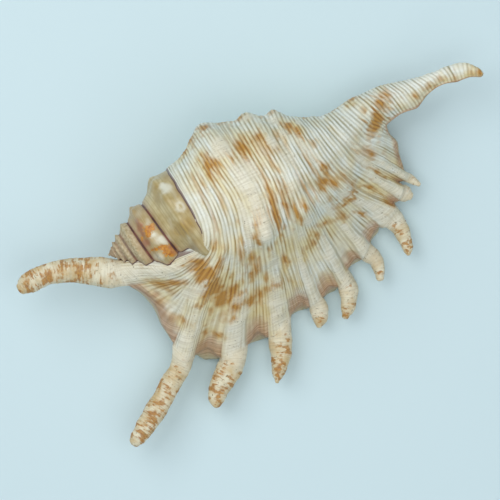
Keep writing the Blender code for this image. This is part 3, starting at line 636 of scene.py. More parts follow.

# %% [markdown]
# Colour marks. The real back is cream with tan grooves; over it lie orange-brown blotches that
# follow the ribs, and pale places where the outer layer has worn away, most of all on knobs and
# on the smooth ridges that lead to the fingers. Each mark is listed with the rib's place, how
# many mm down that rib from the crest, its half length along the rib, its half width, and how
# strong it is. A noise texture alone would put the blotches anywhere.

# %% blotches and worn places
ORANGE_MARKS = [
    (-7.8, -14.2, 1.2, 0.9, 0.8), (-8.8, -11.4, 2.1, 1.2, 0.95), (-10.2, -8.6, 1.8, 0.7, 0.7),
    (-6.6, -10.6, 1.5, 0.7, 0.8), (2.0, -12.7, 1.5, 1.5, 1.1), (1.5, -9.0, 1.8, 0.9, 0.7),
    (3.3, -15.1, 2.1, 0.9, 0.6), (6.5, -13.3, 1.5, 1.5, 0.6), (8.0, -13.1, 1.5, 1.2, 0.8),
    (7.8, -9.5, 2.4, 2.1, 0.5), (10.7, -7.8, 1.2, 1.5, 0.45), (-1.9, -11.2, 2.4, 0.6, 0.55),
    (7.1, -4.2, 2.4, 0.6, 0.65), (3.1, -1.9, 3.2, 0.5, 0.55), (2.9, 3.1, 2.6, 0.7, 0.75),
    (2.7, 6.7, 2.4, 0.9, 0.75), (2.4, 11.4, 3.5, 1.1, 1), (6.0, 8.6, 4.1, 0.8, 0.75),
    (7.4, 4.1, 2.4, 0.6, 0.6), (8.1, 12.7, 2.9, 0.6, 0.85), (8.5, 15.8, 2.1, 0.6, 0.8),
    (-2.6, 8.2, 2.9, 0.7, 0.8), (-2.2, 10.8, 0.9, 0.6, 0.6), (-15.0, 4.3, 2.4, 0.7, 0.45),
    (-10.8, 0.0, 2.6, 0.5, 0.5), (-15.0, -5.1, 2.6, 0.7, 0.45), (-15.2, -9.5, 2.6, 0.7, 0.45),
    (-13.0, -6.7, 2.4, 0.6, 0.45), (16.7, -13.4, 1.8, 1.2, 0.9), (18.1, -8.9, 1.5, 0.9, 0.95),
    (14.2, -23.9, 0.9, 1.2, 0.45), (12.3, -11.6, 1.2, 0.9, 0.5), (7.4, -26.4, 2.6, 0.9, 0.35),
    (13.5, -9.0, 1.8, 0.6, 0.5), (19.2, 4.1, 1.5, 1.3, 0.85), (18.8, 6.9, 1.2, 0.9, 0.85),
    (19.0, 10.8, 1.5, 0.9, 0.9), (20.5, -3.0, 0.6, 0.9, 0.75), (16.5, 0.0, 2.4, 0.5, 0.55),
    (16.1, 3.4, 2.4, 0.5, 0.5), (19.6, 20.3, 1.0, 2.1, 1.1), (18.3, 24.4, 0.9, 1.5, 1.1),
    (16.9, 25.1, 0.9, 1.2, 0.8), (10.4, 11.6, 1.5, 0.6, 0.95), (12.1, 6.5, 3.2, 0.5, 0.55),
    (13.7, 9.4, 3.2, 0.5, 0.45), (21.6, 11.8, 2.4, 0.9, 0.6), (21.6, 16.9, 1.8, 0.9, 0.7),
    (23.4, 25.7, 2.4, 0.6, 0.85), (22.0, 37.3, 1.5, 1.2, 1.1), (39.3, 3.6, 1.8, 1.5, 1.1),
    (36.4, 5.6, 1.8, 1.5, 0.85), (34.3, 6.7, 1.5, 0.9, 0.7), (30.4, 10.9, 2.6, 1.5, 0.65),
    (27.5, 19.6, 3.2, 0.5, 0.85), (25.2, 22.2, 0.9, 0.6, 0.5), (15.7, 23.1, 1.8, 1.2, 0.65),
    (15.3, 28.3, 2.4, 0.9, 0.7), (17.7, 34.3, 2.1, 0.6, 0.8), (12.3, 27.3, 1.2, 1.3, 0.7),
    (15.7, 16.0, 1.8, 0.9, 0.55), (-16.5, 21.6, 1.8, 1.5, 0.8), (-16.1, 20.2, 1.5, 1.5, 1),
    (-15.0, 25.4, 1.8, 1.8, 1.1), (-15.0, 27.9, 0.9, 0.9, 0.6), (-13.9, 20.1, 2.4, 1.0, 0.8),
    (-12.8, 30.1, 1.2, 1.5, 1.15), (-12.1, 33.1, 1.2, 1.2, 0.8), (-13.4, 33.6, 1.5, 1.2, 0.8),
    (-12.6, 35.6, 1.2, 0.9, 0.6), (-10.1, 34.4, 1.5, 1.6, 0.95), (-10.6, 37.3, 1.5, 1.5, 0.9),
    (-7.0, 43.9, 0.9, 1.5, 0.9), (-5.1, 43.5, 1.5, 1.0, 0.75), (-6.2, 23.8, 2.4, 1.0, 0.75),
    (-5.7, 29.4, 2.6, 1.0, 0.8), (-6.8, 32.0, 2.4, 0.9, 0.75), (-4.3, 13.6, 1.2, 1.0, 0.85),
    (-4.3, 16.5, 1.8, 0.7, 1), (-9.0, 19.4, 2.6, 0.7, 0.6), (-15.7, 12.2, 2.1, 0.7, 0.6),
    (-8.3, 18.1, 4.1, 0.3, 0.8), (-3.7, 37.6, 1.8, 0.7, 0.7), (-2.2, 24.5, 1.5, 0.6, 0.6),
    (0.2, 21.6, 0.9, 0.6, 0.4), (-16.4, 35.1, 1.2, 2.1, 0.9), (-15.9, 42.7, 1.5, 0.9, 0.6),
    (-16.1, 42.0, 1.5, 0.9, 0.5), (-15.9, 36.1, 1.8, 1.5, 0.35), (-15.4, 45.3, 0.9, 1.2, 0.6),
    (-15.1, 44.5, 1.0, 1.5, 0.85), (-14.8, 46.1, 0.9, 0.6, 0.5), (-12.2, 50.6, 1.2, 0.7, 0.75),
    (-11.0, 51.6, 0.7, 1.3, 0.8), (-10.1, 52.5, 0.6, 0.9, 0.6), (-12.6, 46.9, 0.4, 0.9, 0.6),
    (-10.8, 44.0, 1.5, 1.8, 0.35), (10.2, 29.9, 1.5, 0.9, 0.85), (9.0, 32.9, 1.2, 1.2, 0.75),
    (6.9, 33.1, 2.1, 0.6, 0.55), (2.0, 32.4, 1.8, 0.8, 0.95), (-2.0, 42.6, 0.8, 1.8, 0.95),
    (-6.4, 42.7, 0.9, 1.2, 0.8), (-4.1, 42.8, 1.2, 0.9, 0.7), (13.1, 28.1, 1.2, 1.2, 0.55),
    (14.8, 32.3, 1.8, 0.6, 0.45), (19.8, 38.8, 0.6, 0.6, 0.5), (20.5, 39.0, 0.6, 0.6, 0.5),
    (45.6, -1.0, 1.5, 1.8, 0.7), (42.8, 0.6, 1.5, 1.5, 0.8),
    (-14.9, 24.3, 1.8, 2.4, 1.1), (-13.1, 31.3, 2.4, 2.4, 1.2), (-11.5, 37.1, 2.4, 1.8, 1.1),
    (-9.5, 40.6, 2.4, 1.8, 1), (-7.4, 42.5, 1.8, 1.5, 0.7), (-13.6, 28.3, 1.8, 2.9, 1),
    (-16.6, 19.2, 1.5, 1.8, 0.8), (-16.3, 31.7, 1.8, 1.5, 0.8), (-16.4, 21.8, 1.8, 1.8, 0.9),
    (16.7, 9, 1.2, 1.8, 1), (18.5, 20.6, 0.9, 1.2, 1.2), (-1.9, 9.4, 1.2, 1.8, 0.9),
    (2, -14.1, 1.5, 1.5, 0.8), (-7, -11.7, 1.2, 1.8, 0.9),
    (73.5, 0.5, 1.5, 1.2, 0.8), (71.5, 1.5, 1, 1, 0.5), (62, 1, 1, 0.8, 0.5), (57.5, 2, 1.2, 0.8, 0.6),
    (53, 3, 1.2, 0.8, 0.6), (59.5, 3.5, 1.5, 0.8, 0.5), (66, 2.5, 1.2, 0.8, 0.5),
    (-14, -28, 2.4, 1.2, 0.8), (-9.5, -31, 3.2, 1.5, 0.8), (-3, -28.5, 2.1, 1.5, 0.9),
    (1.5, -33, 2.9, 1.2, 0.8), (6, -29, 1.8, 1.2, 0.7), (11, -32, 2.4, 1.2, 0.8),
    (15.5, -27, 1.8, 1.2, 0.8), (19, -29, 2.1, 0.9, 0.7),
    (-6, -38, 2.4, 1.2, 0.7), (24, -22, 1.8, 1.2, 0.8), (28, -18, 1.8, 1.2, 0.7), (33, -14, 1.5, 1.2, 0.8),
    (-16, -34, 2.4, 1.2, 0.7), (4, -39, 2.1, 0.9, 0.6), (38.5, -9, 1.5, 1.2, 0.8), (49, -8, 1.2, 1.2, 0.7),
]
WORN_MARKS = [
    (-2.8, -14.0, 2.1, 2.4, 0.6), (10.2, -10.3, 1.8, 1.5, 1), (20.3, -13.6, 1.2, 1.2, 0.9),
    (0.4, -4.7, 3.5, 2.4, 0.8), (-2.4, -0.9, 4.1, 2.9, 0.85), (-2.0, 3.3, 3.8, 2.4, 0.85),
    (-1.1, 10.7, 3.2, 1.8, 0.9), (-2.4, 15.1, 3.5, 1.9, 1), (-6.2, 9.0, 5.3, 1.3, 0.75),
    (-7.0, 16.9, 2.6, 1.2, 0.7), (-1.1, 32.4, 2.9, 1.9, 0.95), (-1.3, 27.0, 1.5, 1.2, 0.7),
    (12.7, -3.7, 5.3, 1.2, 0.6), (10.9, -3.9, 2.4, 0.9, 0.6), (18.3, -0.6, 3.2, 1.5, 0.55),
    (18.8, 18.0, 1.2, 1.6, 1.1), (14.2, 22.1, 2.9, 0.9, 1.1), (14.2, 17.9, 1.5, 1.2, 0.8),
    (9.8, 19.9, 2.1, 1.5, 1), (11.5, 19.2, 1.2, 0.9, 0.6), (14.4, 34.3, 1.5, 1.3, 1),
    (14.4, 38.6, 1.5, 1.5, 0.8), (-15.3, 33.0, 2.4, 2.4, 1), (-14.7, 30.9, 1.5, 1.5, 0.8),
    (-14.6, 27.4, 1.0, 0.7, 0.9), (-9.5, 29.0, 1.5, 0.9, 0.75), (-12.1, 20.3, 2.4, 0.6, 0.6),
    (-14.6, 50.9, 3.5, 2.6, 0.9), (-14.1, 41.3, 2.4, 2.4, 0.6), (-15.5, 39.5, 2.4, 2.1, 0.6),
    (-8.1, 45.6, 2.1, 1.8, 0.65), (-9.7, 49.7, 1.5, 1.5, 0.5), (-17.3, 29.9, 1.8, 2.9, 0.8),
    (-17.2, 34.8, 1.5, 1.8, 0.8), (-18.1, 15.9, 1.8, 2.4, 0.6), (27.9, 13.5, 4.1, 0.9, 0.9),
    (29.6, 20.2, 2.9, 0.9, 0.8), (25.9, 20.7, 3.5, 0.6, 0.8), (25.6, 25.9, 4.1, 1.1, 0.9),
    (25.4, 29.4, 1.8, 1.2, 0.7), (19.0, 28.0, 2.4, 1.5, 0.9), (19.8, 33.2, 3.5, 1.5, 0.95),
    (20.1, 38.0, 2.4, 1.5, 0.8), (10.9, 39.8, 3.5, 1.5, 0.85), (10.9, 46.8, 2.9, 1.8, 0.85),
    (10.9, 34.0, 1.8, 0.9, 0.6), (6.0, 39.5, 2.9, 1.0, 0.8), (6.0, 45.5, 2.9, 1.2, 0.8),
    (-2.4, 47.6, 3.5, 2.4, 0.75), (-2.6, 54.7, 3.5, 2.4, 0.8), (14.8, 42.1, 2.9, 1.5, 0.9),
    (-8.6, -7.5, 2.6, 0.6, 0.45), (23.4, 7.2, 4.7, 2.4, 0.3), (29.1, 3.5, 4.7, 2.9, 0.3),
    (17.1, -5.3, 3.5, 1.8, 0.45), (-2, -15.5, 2.4, 2.4, 1.1), (-4.5, -13.7, 1.5, 1.8, 0.8),
    (7.6, -26.4, 1.8, 1.8, 0.8), (13.7, -19.1, 2.1, 1.8, 0.9), (14.1, -12.1, 1.5, 1.5, 0.7),
    (21.1, -13.2, 1.2, 1.5, 0.5), (-1.5, -6.4, 2.4, 2.4, 0.6), (-2, 1.8, 2.6, 2.6, 0.7),
    (-2.4, 7.1, 2.4, 2.1, 0.7), (-2.4, 15.1, 2.1, 2.1, 0.8), (8.7, 5.1, 1.8, 1.5, 0.6),
    (18.7, 19.3, 1.8, 1.8, 0.9), (14.1, 25, 1.5, 1.2, 0.7), (7.3, 24.5, 1.8, 1.5, 0.6),
]
print("marks:", len(ORANGE_MARKS), "and", len(WORN_MARKS))

# %% [markdown]
# A mark is given by the millimetres along its rib, so each point needs the length of rib between
# itself and the crest. Two soft noises shift that a little, which frays the edges of the marks.

# %% where each point lies along its rib
lengths = np.linalg.norm(np.diff(GRID, axis=1), axis=2)
travelled = np.concatenate([np.zeros((rows, 1)), np.cumsum(lengths, axis=1)], axis=1)
run = (travelled - travelled[:, CREST_COLUMN:CREST_COLUMN + 1]).ravel()
pad = np.zeros(len(body_points) - len(run))
run = np.concatenate([run, pad])
across = np.concatenate([gap.ravel(), pad + 1])
wander = rough(body_points, 2.6, 7) * 0.8 + rough(body_points, 0.9, 8) * 0.35
wander_across = rough(body_points, 2.2, 9) * 0.5 + rough(body_points, 0.8, 10) * 0.25


def marked(marks, swell):
    """How strongly each point is inside the marks, with frayed edges."""
    total = np.zeros(len(body_points))
    for mark_place, mark_run, reach, reach_across, strength in marks:
        along_rib = (run - mark_run + wander) / (reach * swell * 1.2)
        across_rib = ((place - mark_place) * across + wander_across) / (reach_across * swell)
        total = np.maximum(total, strength * np.exp(-((along_rib**2 + across_rib**2) ** 1.4)))
    total[rows * COLUMNS:] = 0
    total[(way < 1.7) | (way > 6.3)] = 0
    return total


orange, worn, near_orange = marked(ORANGE_MARKS, 1.25), marked(WORN_MARKS, 1.2), marked(ORANGE_MARKS, 3.0)
frayed = np.array([noise.noise(Vector((p * 1.1, r / 3.0, 5.0))) for p, r in zip(place, run)])
orange = np.maximum(orange, 0.75 * near_orange * spread(frayed + 0.3 * wander_across, -0.05, 0.35))
print("points in orange blotches:", int((orange > 0.4).sum()), "and worn:", int((worn > 0.4).sum()))

# %% [markdown]
# Each groove has its own shade, which changes slowly along it: some are dark and sharp, others
# almost fade out. The shade is read from a noise that is stretched a long way along the rib.

# %% shades of the grooves
def per_rib(count, stretch, seed):
    """A shade for each rib or groove, changing along it, for the two doubling levels here."""
    level = np.floor(all_doublings)
    share = spread(all_doublings - level, 0.25, 0.75)
    shades = []
    for step in (level, level + 1):
        number = np.floor(count * 2.0**step)
        spots = np.stack([number * 3.7 + seed, run / stretch, step + seed], axis=1)
        shades.append(np.array([noise.noise(Vector(spot)) for spot in spots]))
    return shades[0] * (1 - share) + shades[1] * share


groove_shade = 0.5 + 0.9 * per_rib(rib_number, 8.0, 0.5)
groove_shade -= 0.3 * spread(place, 48, 62) + 0.15 * (1 - spread(place, -12, -2))
rib_shade = 0.5 + 0.9 * per_rib(rib_number + 0.5, 9.0, 4.5)
warm = 0.2 + 0.8 * rough(body_points, 13, 11) + 0.4 * rough(body_points, 4, 12) + 0.35 * (rib_shade - 0.5)
warm += 0.5 * near_orange - 0.2 * (1 - spread(way, 3.2, 4.2)) * spread(place, -8, 2)
warm += 0.45 * spread(place, 52, 64) - 0.2 * spread(place, 34, 42)
ridge = np.array([finger_share(p) for p in PLACES])
ridge = np.concatenate([np.repeat(ridge, COLUMNS), np.ones(len(pad))])
patchy = rough(body_points, 4.5, 14)
past_shoulder = spread(way + 0.6 * patchy + 0.6 * (place < FINGERS["hind"][1]), 4.9, 5.8)
ridge_worn = spread(ridge + 0.3 * rough(body_points, 2.6, 15), 0.25, 1.0) * past_shoulder
ridge_worn[way > 6.5] *= 0.5
worn = np.maximum(worn, (0.75 + 0.4 * patchy) * ridge_worn)
warm += 0.25 * (1 - spread(ridge, 0.0, 0.6)) * spread(way, 4.2, 5.0)
# The webs between the fingers: their own pink-brown, deepened with painted shade where they fall steeply to
# the rim.
web_tint_and_shade = (1 - spread(ridge, 0.0, 0.5)) * spread(way + 0.15 * rough(body_points, 2.0, 13), 5.55, 5.95)
web_tint_and_shade[way > 7] = 0
margin = spread(way, 6.35, 6.6) * (1 - spread(ridge, 0.0, 0.3))
print("shade of the grooves:", groove_shade.min().round(2), groove_shade.max().round(2))

# %% [markdown]
# The relief pushes each point of the skin in or out by a fraction of a millimetre: ribs, soft lumps,
# wrinkles round the fingers and low ribs inside the opening. Worn places are almost smooth.

# %% relief of the body
RIB_DEPTH = 0.16
CREASE_SPACING = 2.4
WRINKLE_SPACING = 1.5
lumps = rough(body_points, 9, 1) * 0.45 + rough(body_points, 3.6, 2) * (0.22 + 0.1 * worn)
grain = rough(body_points, 0.9, 3) * 0.03
smoothed = 1 - 0.85 * np.clip(worn, 0, 1)
tooth = ribs(rib_number / 2, np.zeros(len(way)))
teeth = 0.22 * tooth * spread(way, 7.35, 7.6) * (1 - spread(way, 8.2, 8.5))
outside = spread(way, 1.5, 1.9) * (1 - spread(way, 6.6, 7))
relief = smoothed * ribbed * RIB_DEPTH * (rib_height - 0.5) + outside * (lumps + grain)
wrinkles = np.sin(finger_mm * 2 * math.pi / WRINKLE_SPACING + 3 * rough(body_points, 2.5, 4))
creases = np.sin(run * 2 * math.pi / CREASE_SPACING + 5 * rough(body_points, 5, 20))
creases *= spread(way, 4.5, 5.3) * (1 - spread(way, 5.9, 6.2))
relief += np.where(on_finger, 0, creases * 0.11 * (0.35 + 0.65 * ridge) * (0.6 + 0.8 * patchy))
on_fingers = spread(finger_mm, 1, 5) * (0.07 * wrinkles + 0.18 * rough(body_points, 2.4, 5))
relief += np.where(on_finger, on_fingers, 0)
relief = np.where(way > 7, teeth, relief)
body_points = body_points + body_out * relief[:, None]
body_points[:, 2] = np.maximum(body_points[:, 2], 0)
body.vertices.foreach_set("co", body_points.astype(np.float32).ravel())
body.update()
print("relief from", relief.min().round(2), "to", relief.max().round(2), "mm")

# %% [markdown]
# The spire is made of the older whorls, wound round an axis and each overlapping the one before.
# Their meeting line, the suture, climbs round the cone, so the radius depends on the distance
# from the apex and on the turn. A turned profile would give level rings instead.

# %% the spire
APEX = (-47.6, -3.0, 19.6)
SPIRE_AXIS = (1.0, -0.045, 0.045)
SPIRE_LENGTH = 34.6
SUTURE_PLACE = 26.4  # from the apex to the last suture, on the side away from the lip
SUTURE_RADIUS = 18.5
SPIRE_SWELL = 0.78  # how the radius grows with the distance from the apex
SUTURE_LEAN = 0.1  # the sutures lean back on the side away from the lip
# Distance from the apex and number of the whorl there, counted back from the last suture.
WHORLS = [(0.2, -9), (1.2, -6), (2, -5), (3.4, -4), (5.6, -3), (9.3, -2), (15.5, -1), (28, 0), (40, 0.6)]
# Share of the way from one suture to the next, how far the whorl stands out there.
WHORL_PROFILE = [
    (0, -0.13), (0.06, -0.11), (0.3, -0.06), (0.5, 0.05), (0.62, 0.04), (0.95, -0.08), (1, -0.13),
]
KNOBS_PER_WHORL = 12
NOSE = (26.0, 9.0)  # beyond this distance the buried end rounds off over this length
SPIRE_RINGS = 130
SPIRE_SIDES = 150


def spire_radius(distance, turns):
    """Radius of the spire at a distance from the apex, for turns round it from the far side."""
    mean = SUTURE_RADIUS * (distance / SUTURE_PLACE) ** SPIRE_SWELL
    leaning = distance + SUTURE_LEAN * mean * np.cos(2 * math.pi * turns)
    before, here, after = (along(WHORLS, leaning + step)[:, 0] for step in (-0.1, 0, 0.1))
    whorls = here - turns
    share = whorls - np.floor(whorls)
    stepped = np.interp(share, *zip(*WHORL_PROFILE))
    waves = 0.5 + 0.5 * np.cos(2 * math.pi * KNOBS_PER_WHORL * turns)
    knobs = np.exp(-(((share - 0.5) / 0.13) ** 2)) * waves
    nose = max(0.0, distance - NOSE[0]) / NOSE[1]
    under_lip = np.clip(-np.cos(2 * math.pi * turns) - 0.2, 0, 1) * min(max((distance - 16) / 8, 0), 1)
    radius = mean * (1 + stepped + 0.07 * knobs - 0.32 * under_lip) * math.sqrt(max(0.0, 1 - nose**2))
    near_suture = np.minimum(share, 1 - share) * 0.2 / np.maximum(after - before, 0.02)
    return radius, whorls, near_suture


def spire_parts():
    """Points, faces and facts of the spire: rings about the axis, closed at both ends."""
    apex, axis = np.array(APEX), np.array(SPIRE_AXIS)
    axis = axis / np.linalg.norm(axis)
    level = np.cross((0, 0, 1), axis)
    level /= np.linalg.norm(level)
    upward = np.cross(axis, level)
    turns = np.arange(SPIRE_SIDES) / SPIRE_SIDES - 0.25
    angle = 2 * math.pi * turns
    points, known = [], []
    for i in range(1, SPIRE_RINGS + 1):
        distance = SPIRE_LENGTH * (i / SPIRE_RINGS) ** 1.25
        radius, whorls, near_suture = spire_radius(distance, turns)
        spots = apex + axis * distance + np.outer(radius * np.cos(angle), level)
        points.append(spots + np.outer(radius * np.sin(angle), upward))
        known.append(np.stack([whorls, near_suture, np.full(SPIRE_SIDES, distance)], axis=1))
    points += [apex[None], points[-1].mean(axis=0)[None]]
    known += [np.array([[-6, 3, 0]]), np.array([[0, 3, SPIRE_LENGTH]])]
    ring = np.arange(SPIRE_RINGS * SPIRE_SIDES).reshape(SPIRE_RINGS, SPIRE_SIDES)
    turned = np.roll(ring, -1, axis=1)
    quads = np.stack([ring[:-1], turned[:-1], turned[1:], ring[1:]], axis=-1).reshape(-1, 4).tolist()
    tip = SPIRE_RINGS * SPIRE_SIDES
    quads += [[tip, b, a] for a, b in zip(ring[0].tolist(), turned[0].tolist())]
    quads += [[tip + 1, a, b] for a, b in zip(ring[-1].tolist(), turned[-1].tolist())]
    return np.concatenate(points), quads, np.concatenate(known)


spire_points, spire_faces, spire_facts = spire_parts()
spire = mesh_from("spire", spire_points, spire_faces)
spire_out = normals_of(spire)
sunk = -0.28 * np.exp(-((spire_facts[:, 1] / 0.45) ** 2))
spire_points = spire_points + spire_out * (sunk + rough(spire_points, 3, 6) * 0.12)[:, None]
spire.vertices.foreach_set("co", spire_points.astype(np.float32).ravel())
spire.update()
print("points of the spire:", len(spire_points))

# %% [markdown]
# The two skins are joined into one closed surface, so nothing is left inside. Each has a material
# of its own for the moment, which tells afterwards which skin a face came from.

# %% one closed skin
def as_object(mesh, name):
    made = bpy.data.objects.new(name, mesh)
    bpy.context.scene.collection.objects.link(made)
    return made


for mesh in (body, spire):
    mesh.materials.append(bpy.data.materials.new(mesh.name))
shell = as_object(body, "conch_shell")
tool = as_object(spire, "spire_tool")
union = shell.modifiers.new("spire", "BOOLEAN")
union.operation = "UNION"
union.solver = "MANIFOLD"
union.material_mode = "TRANSFER"
union.object = tool
bpy.context.view_layer.update()
joined = bpy.data.meshes.new_from_object(shell.evaluated_get(bpy.context.evaluated_depsgraph_get()))
shell.modifiers.clear()
shell.data = joined
bpy.data.objects.remove(tool)
joined.name = "conch shell"
print("faces of the joined skin:", len(joined.polygons))

# %% [markdown]
# Joining makes new points along the cut and gives all points new numbers. So what each point knew
# is found again from the nearest point of the two skins.

# %% what each point knew
points = np.empty(len(joined.vertices) * 3, np.float32)
joined.vertices.foreach_get("co", points)
points = points.reshape(-1, 3).astype(float)
sources = np.concatenate([body_points, spire_points])
nearest = kdtree.KDTree(len(sources))
for i, point in enumerate(sources):
    nearest.insert(point, i)
nearest.balance()
source = np.array([nearest.find(point)[1] for point in points])


def on_skin(on_body, on_spire=0.0):
    """Values for the points of the joined skin, from those of the body's and the spire's points."""
    return np.concatenate([on_body, np.broadcast_to(on_spire, len(spire_points))])[source]


print("points of the joined skin:", len(points))

# %% [markdown]
# The faces of both skins meet along a seam, which on the real shell is the last suture and is
# stained dark. The distance from it is measured for each point. Under the hind ridge the seam is
# hidden, so that part is left out.

# %% distance from the seam
slot = np.empty(len(joined.polygons), np.int32)
joined.polygons.foreach_get("material_index", slot)
sizes = np.empty(len(joined.polygons), np.int32)
joined.polygons.foreach_get("loop_total", sizes)
corner = np.empty(len(joined.loops), np.int32)
joined.loops.foreach_get("vertex_index", corner)
corner_slot = np.repeat(slot, sizes)
touched = [np.bincount(corner[corner_slot == kind], minlength=len(points)) > 0 for kind in np.unique(slot)]
under_ridge = (points[:, 0] > -25) & (points[:, 1] < -9)
on_seam = np.flatnonzero(touched[0] & touched[-1] & ~under_ridge)
seam_tree = kdtree.KDTree(len(on_seam))
for i, vertex in enumerate(on_seam):
    seam_tree.insert(points[vertex], i)
seam_tree.balance()
seam_mm = np.array([seam_tree.find(point)[2] for point in points])
at_end = on_skin((place == PLACES[0]) & (finger_mm == 0), False)
seam_mm[at_end] = 0
print("points on the line where body and spire meet:", len(on_seam))

# %% [markdown]
# The guides were drawn in a frame that is handy for reading the photo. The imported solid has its
# own, so the skin is moved there and fitted just inside the solid's box. The hidden solid stays for
# collisions, and this skin stands for it.

# %% into the solid's own frame
ORIGIN = np.array([0.685, 18.79, 0])  # where the guides' zero lies, in the solid's frame
points = points + ORIGIN
low, high = points.min(axis=0), points.max(axis=0)
floor_of_box = cad_low + (0.02, 0.02, 0.0)
scale = (cad_high - 0.02 - floor_of_box) / (high - low)
points = floor_of_box + (points - low) * scale
print("scaled by", scale.round(4))
joined.vertices.foreach_set("co", (points * MM).astype(np.float32).ravel())
joined.update()
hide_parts(NODE)
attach(shell, "root")

# %% [markdown]
# The older whorls have their own spots: white knobs, bright orange and rosy patches where the
# enamel is chipped, an olive-gold patch and a dusky corner. They were placed as seen from above, so
# each is given by its X and Y in mm, its half length along X, its half width and how strong it is.

# %% spots of the spire
SPIRE_MARKS = {
    "white": [
        (-23.9, 7.2, 1.8, 1.5, 1), (-24.7, 8.7, 1.2, 0.9, 0.8), (-22.4, 0.7, 1.6, 1.6, 1),
        (-22.4, 0.7, 0.6, 0.6, -1.2), (-33.1, -3.3, 1.2, 0.9, 1), (-32.1, -5.4, 1.5, 1.2, 0.8),
        (-30.5, -6.1, 1.5, 1.5, 0.8), (-32.8, 0.8, 0.9, 1.2, 0.5), (-22.4, 4.4, 0.9, 2.4, 0.35),
        (-24.1, -9.0, 0.9, 2.4, 0.3), (-27.0, -2.8, 0.9, 2.9, 0.35), (-34.6, -9.4, 1.5, 0.9, 0.6),
        (-33.5, -10.6, 1.2, 0.9, 0.6), (-34.3, 4.0, 1.2, 1.8, 0.35),
    ],
    "orange": [
        (-33.1, -1.3, 1.8, 1.3, 1.1), (-34.5, -3.0, 0.9, 0.9, 0.8), (-30.6, -9.3, 2.1, 1.5, 1.1),
        (-29.9, -10.6, 1.2, 1.0, 1), (-34.2, -7.3, 1.8, 0.6, 0.9), (-31.9, -7.7, 1.2, 0.7, 0.6),
        (-36.6, -3.3, 0.7, 0.9, 0.7), (-40.0, -0.8, 0.9, 0.6, 0.7), (-39.6, -3.5, 0.9, 0.4, 0.6),
        (-39.6, 1.6, 0.6, 0.6, 0.5), (-39.2, -5.4, 0.6, 0.6, 0.5), (-43.7, -2.6, 0.9, 0.6, 0.4),
    ],
    "gold": [
        (-24.1, -5.5, 2.6, 2.4, 1), (-26.8, -5.2, 1.8, 2.4, 0.6), (-21.9, -4.2, 1.5, 1.5, 0.6),
        (-22.9, 10.5, 1.2, 1.2, 0.7), (-27.3, 8.6, 1.5, 2.4, 0.5), (-27.5, 5.4, 1.5, 1.5, 0.5),
        (-22.8, 2.3, 0.9, 1.2, 0.5), (-35.1, 5.7, 1.5, 1.5, 0.4),
    ],
    "rosy": [
        (-35.6, 0.4, 1.2, 1.5, 1), (-35.9, -4.6, 1.5, 1.2, 1), (-35.6, -1.8, 0.9, 1.2, 0.8),
        (-30.8, -13.1, 2.9, 0.6, 0.7), (-35.6, 2.4, 0.9, 0.9, 0.5),
    ],
    "dusk": [
        (-23.6, -12.2, 1.8, 2.1, 0.9), (-22.8, -8.3, 0.9, 2.6, 0.4), (-24.3, 11.7, 1.5, 1.2, 0.3),
        (-25.5, 0.6, 2.1, 0.9, 0.25),
    ],
}
frayed = rough(spire_points, 1.6, 16) * 0.5 + rough(spire_points, 0.6, 17) * 0.25
frayed_across = rough(spire_points, 1.6, 18) * 0.5 + rough(spire_points, 0.6, 19) * 0.25


def spots(marks):
    """How strongly each point of the spire's upper side is inside the spots."""
    total = np.zeros(len(spire_points))
    for x, y, reach, reach_across, strength in marks:
        off = ((spire_points[:, 0] - x + frayed) / reach) ** 2
        off += ((spire_points[:, 1] - y + frayed_across) / reach_across) ** 2
        total += strength * np.exp(-(off ** 1.3))
    return np.clip(total, 0, 1.2) * spread(spire_points[:, 2], 17, 21)


print("kinds of spots on the spire:", len(SPIRE_MARKS))

# %% [markdown]
# The numbers that the materials read are stored on the points, under names for what they mean.

# %% storing the numbers
whorl, near_suture, spire_distance = spire_facts.T
nowhere = np.zeros(len(body_points))
# For each name the body's numbers come first, then the spire's if it has any.
NUMBERS = {
    "rib": on_skin(1 - (1 - rib_height) * ribbed, 1), "groove_shade": on_skin(np.clip(groove_shade, 0, 1)),
    "warm": on_skin(np.clip(warm, 0, 1)), "orange": on_skin(orange), "worn": on_skin(worn),
    "web_tint_and_shade": on_skin(web_tint_and_shade), "margin": on_skin(margin), "finger_mm": on_skin(finger_mm), "way": on_skin(way),
    "rib_mm": on_skin(np.where(on_finger, place * 3, rib_number * RIB_PITCH)),
    "run_mm": on_skin(np.where(on_finger, 60 + finger_mm, run)), "tooth": on_skin(tooth),
    "whorl": on_skin(nowhere, whorl), "suture_mm": on_skin(nowhere + 9, near_suture),
    "apex_mm": on_skin(nowhere + 40, spire_distance), "seam_mm": seam_mm,
    **{"spire_" + kind: on_skin(nowhere, spots(marks)) for kind, marks in SPIRE_MARKS.items()},
}
for name, values in NUMBERS.items():
    joined.attributes.new(name, "FLOAT", "POINT").data.foreach_set("value", values.astype(np.float32))
print("numbers stored:", len(joined.attributes))

# %% [markdown]
# Finishes. One function turns hex colours to the linear numbers that Blender mixes, and one adds a
# node with its settings and links. What each kind of node needs is kept in short tables, so that
# each material reads as a list of its layers: a share, what is below, and what is laid over it.

# %% helpers for materials
def linear(code):
    """An sRGB hex colour as the linear numbers that Blender wants."""
    parts = [int(code[i:i + 2], 16) / 255 for i in (1, 3, 5)]
    return (*[c / 12.92 if c <= 0.04045 else ((c + 0.055) / 1.055) ** 2.4 for c in parts], 1.0)


def fill(node, values):
    """Sets or links a node's inputs: another node's output, a hex colour or a number for each socket."""
    for socket, value in values.items():
        if isinstance(value, bpy.types.NodeSocket):
            tree.links.new(value, node.inputs[socket])
        else:
            node.inputs[socket].default_value = linear(value) if isinstance(value, str) else value


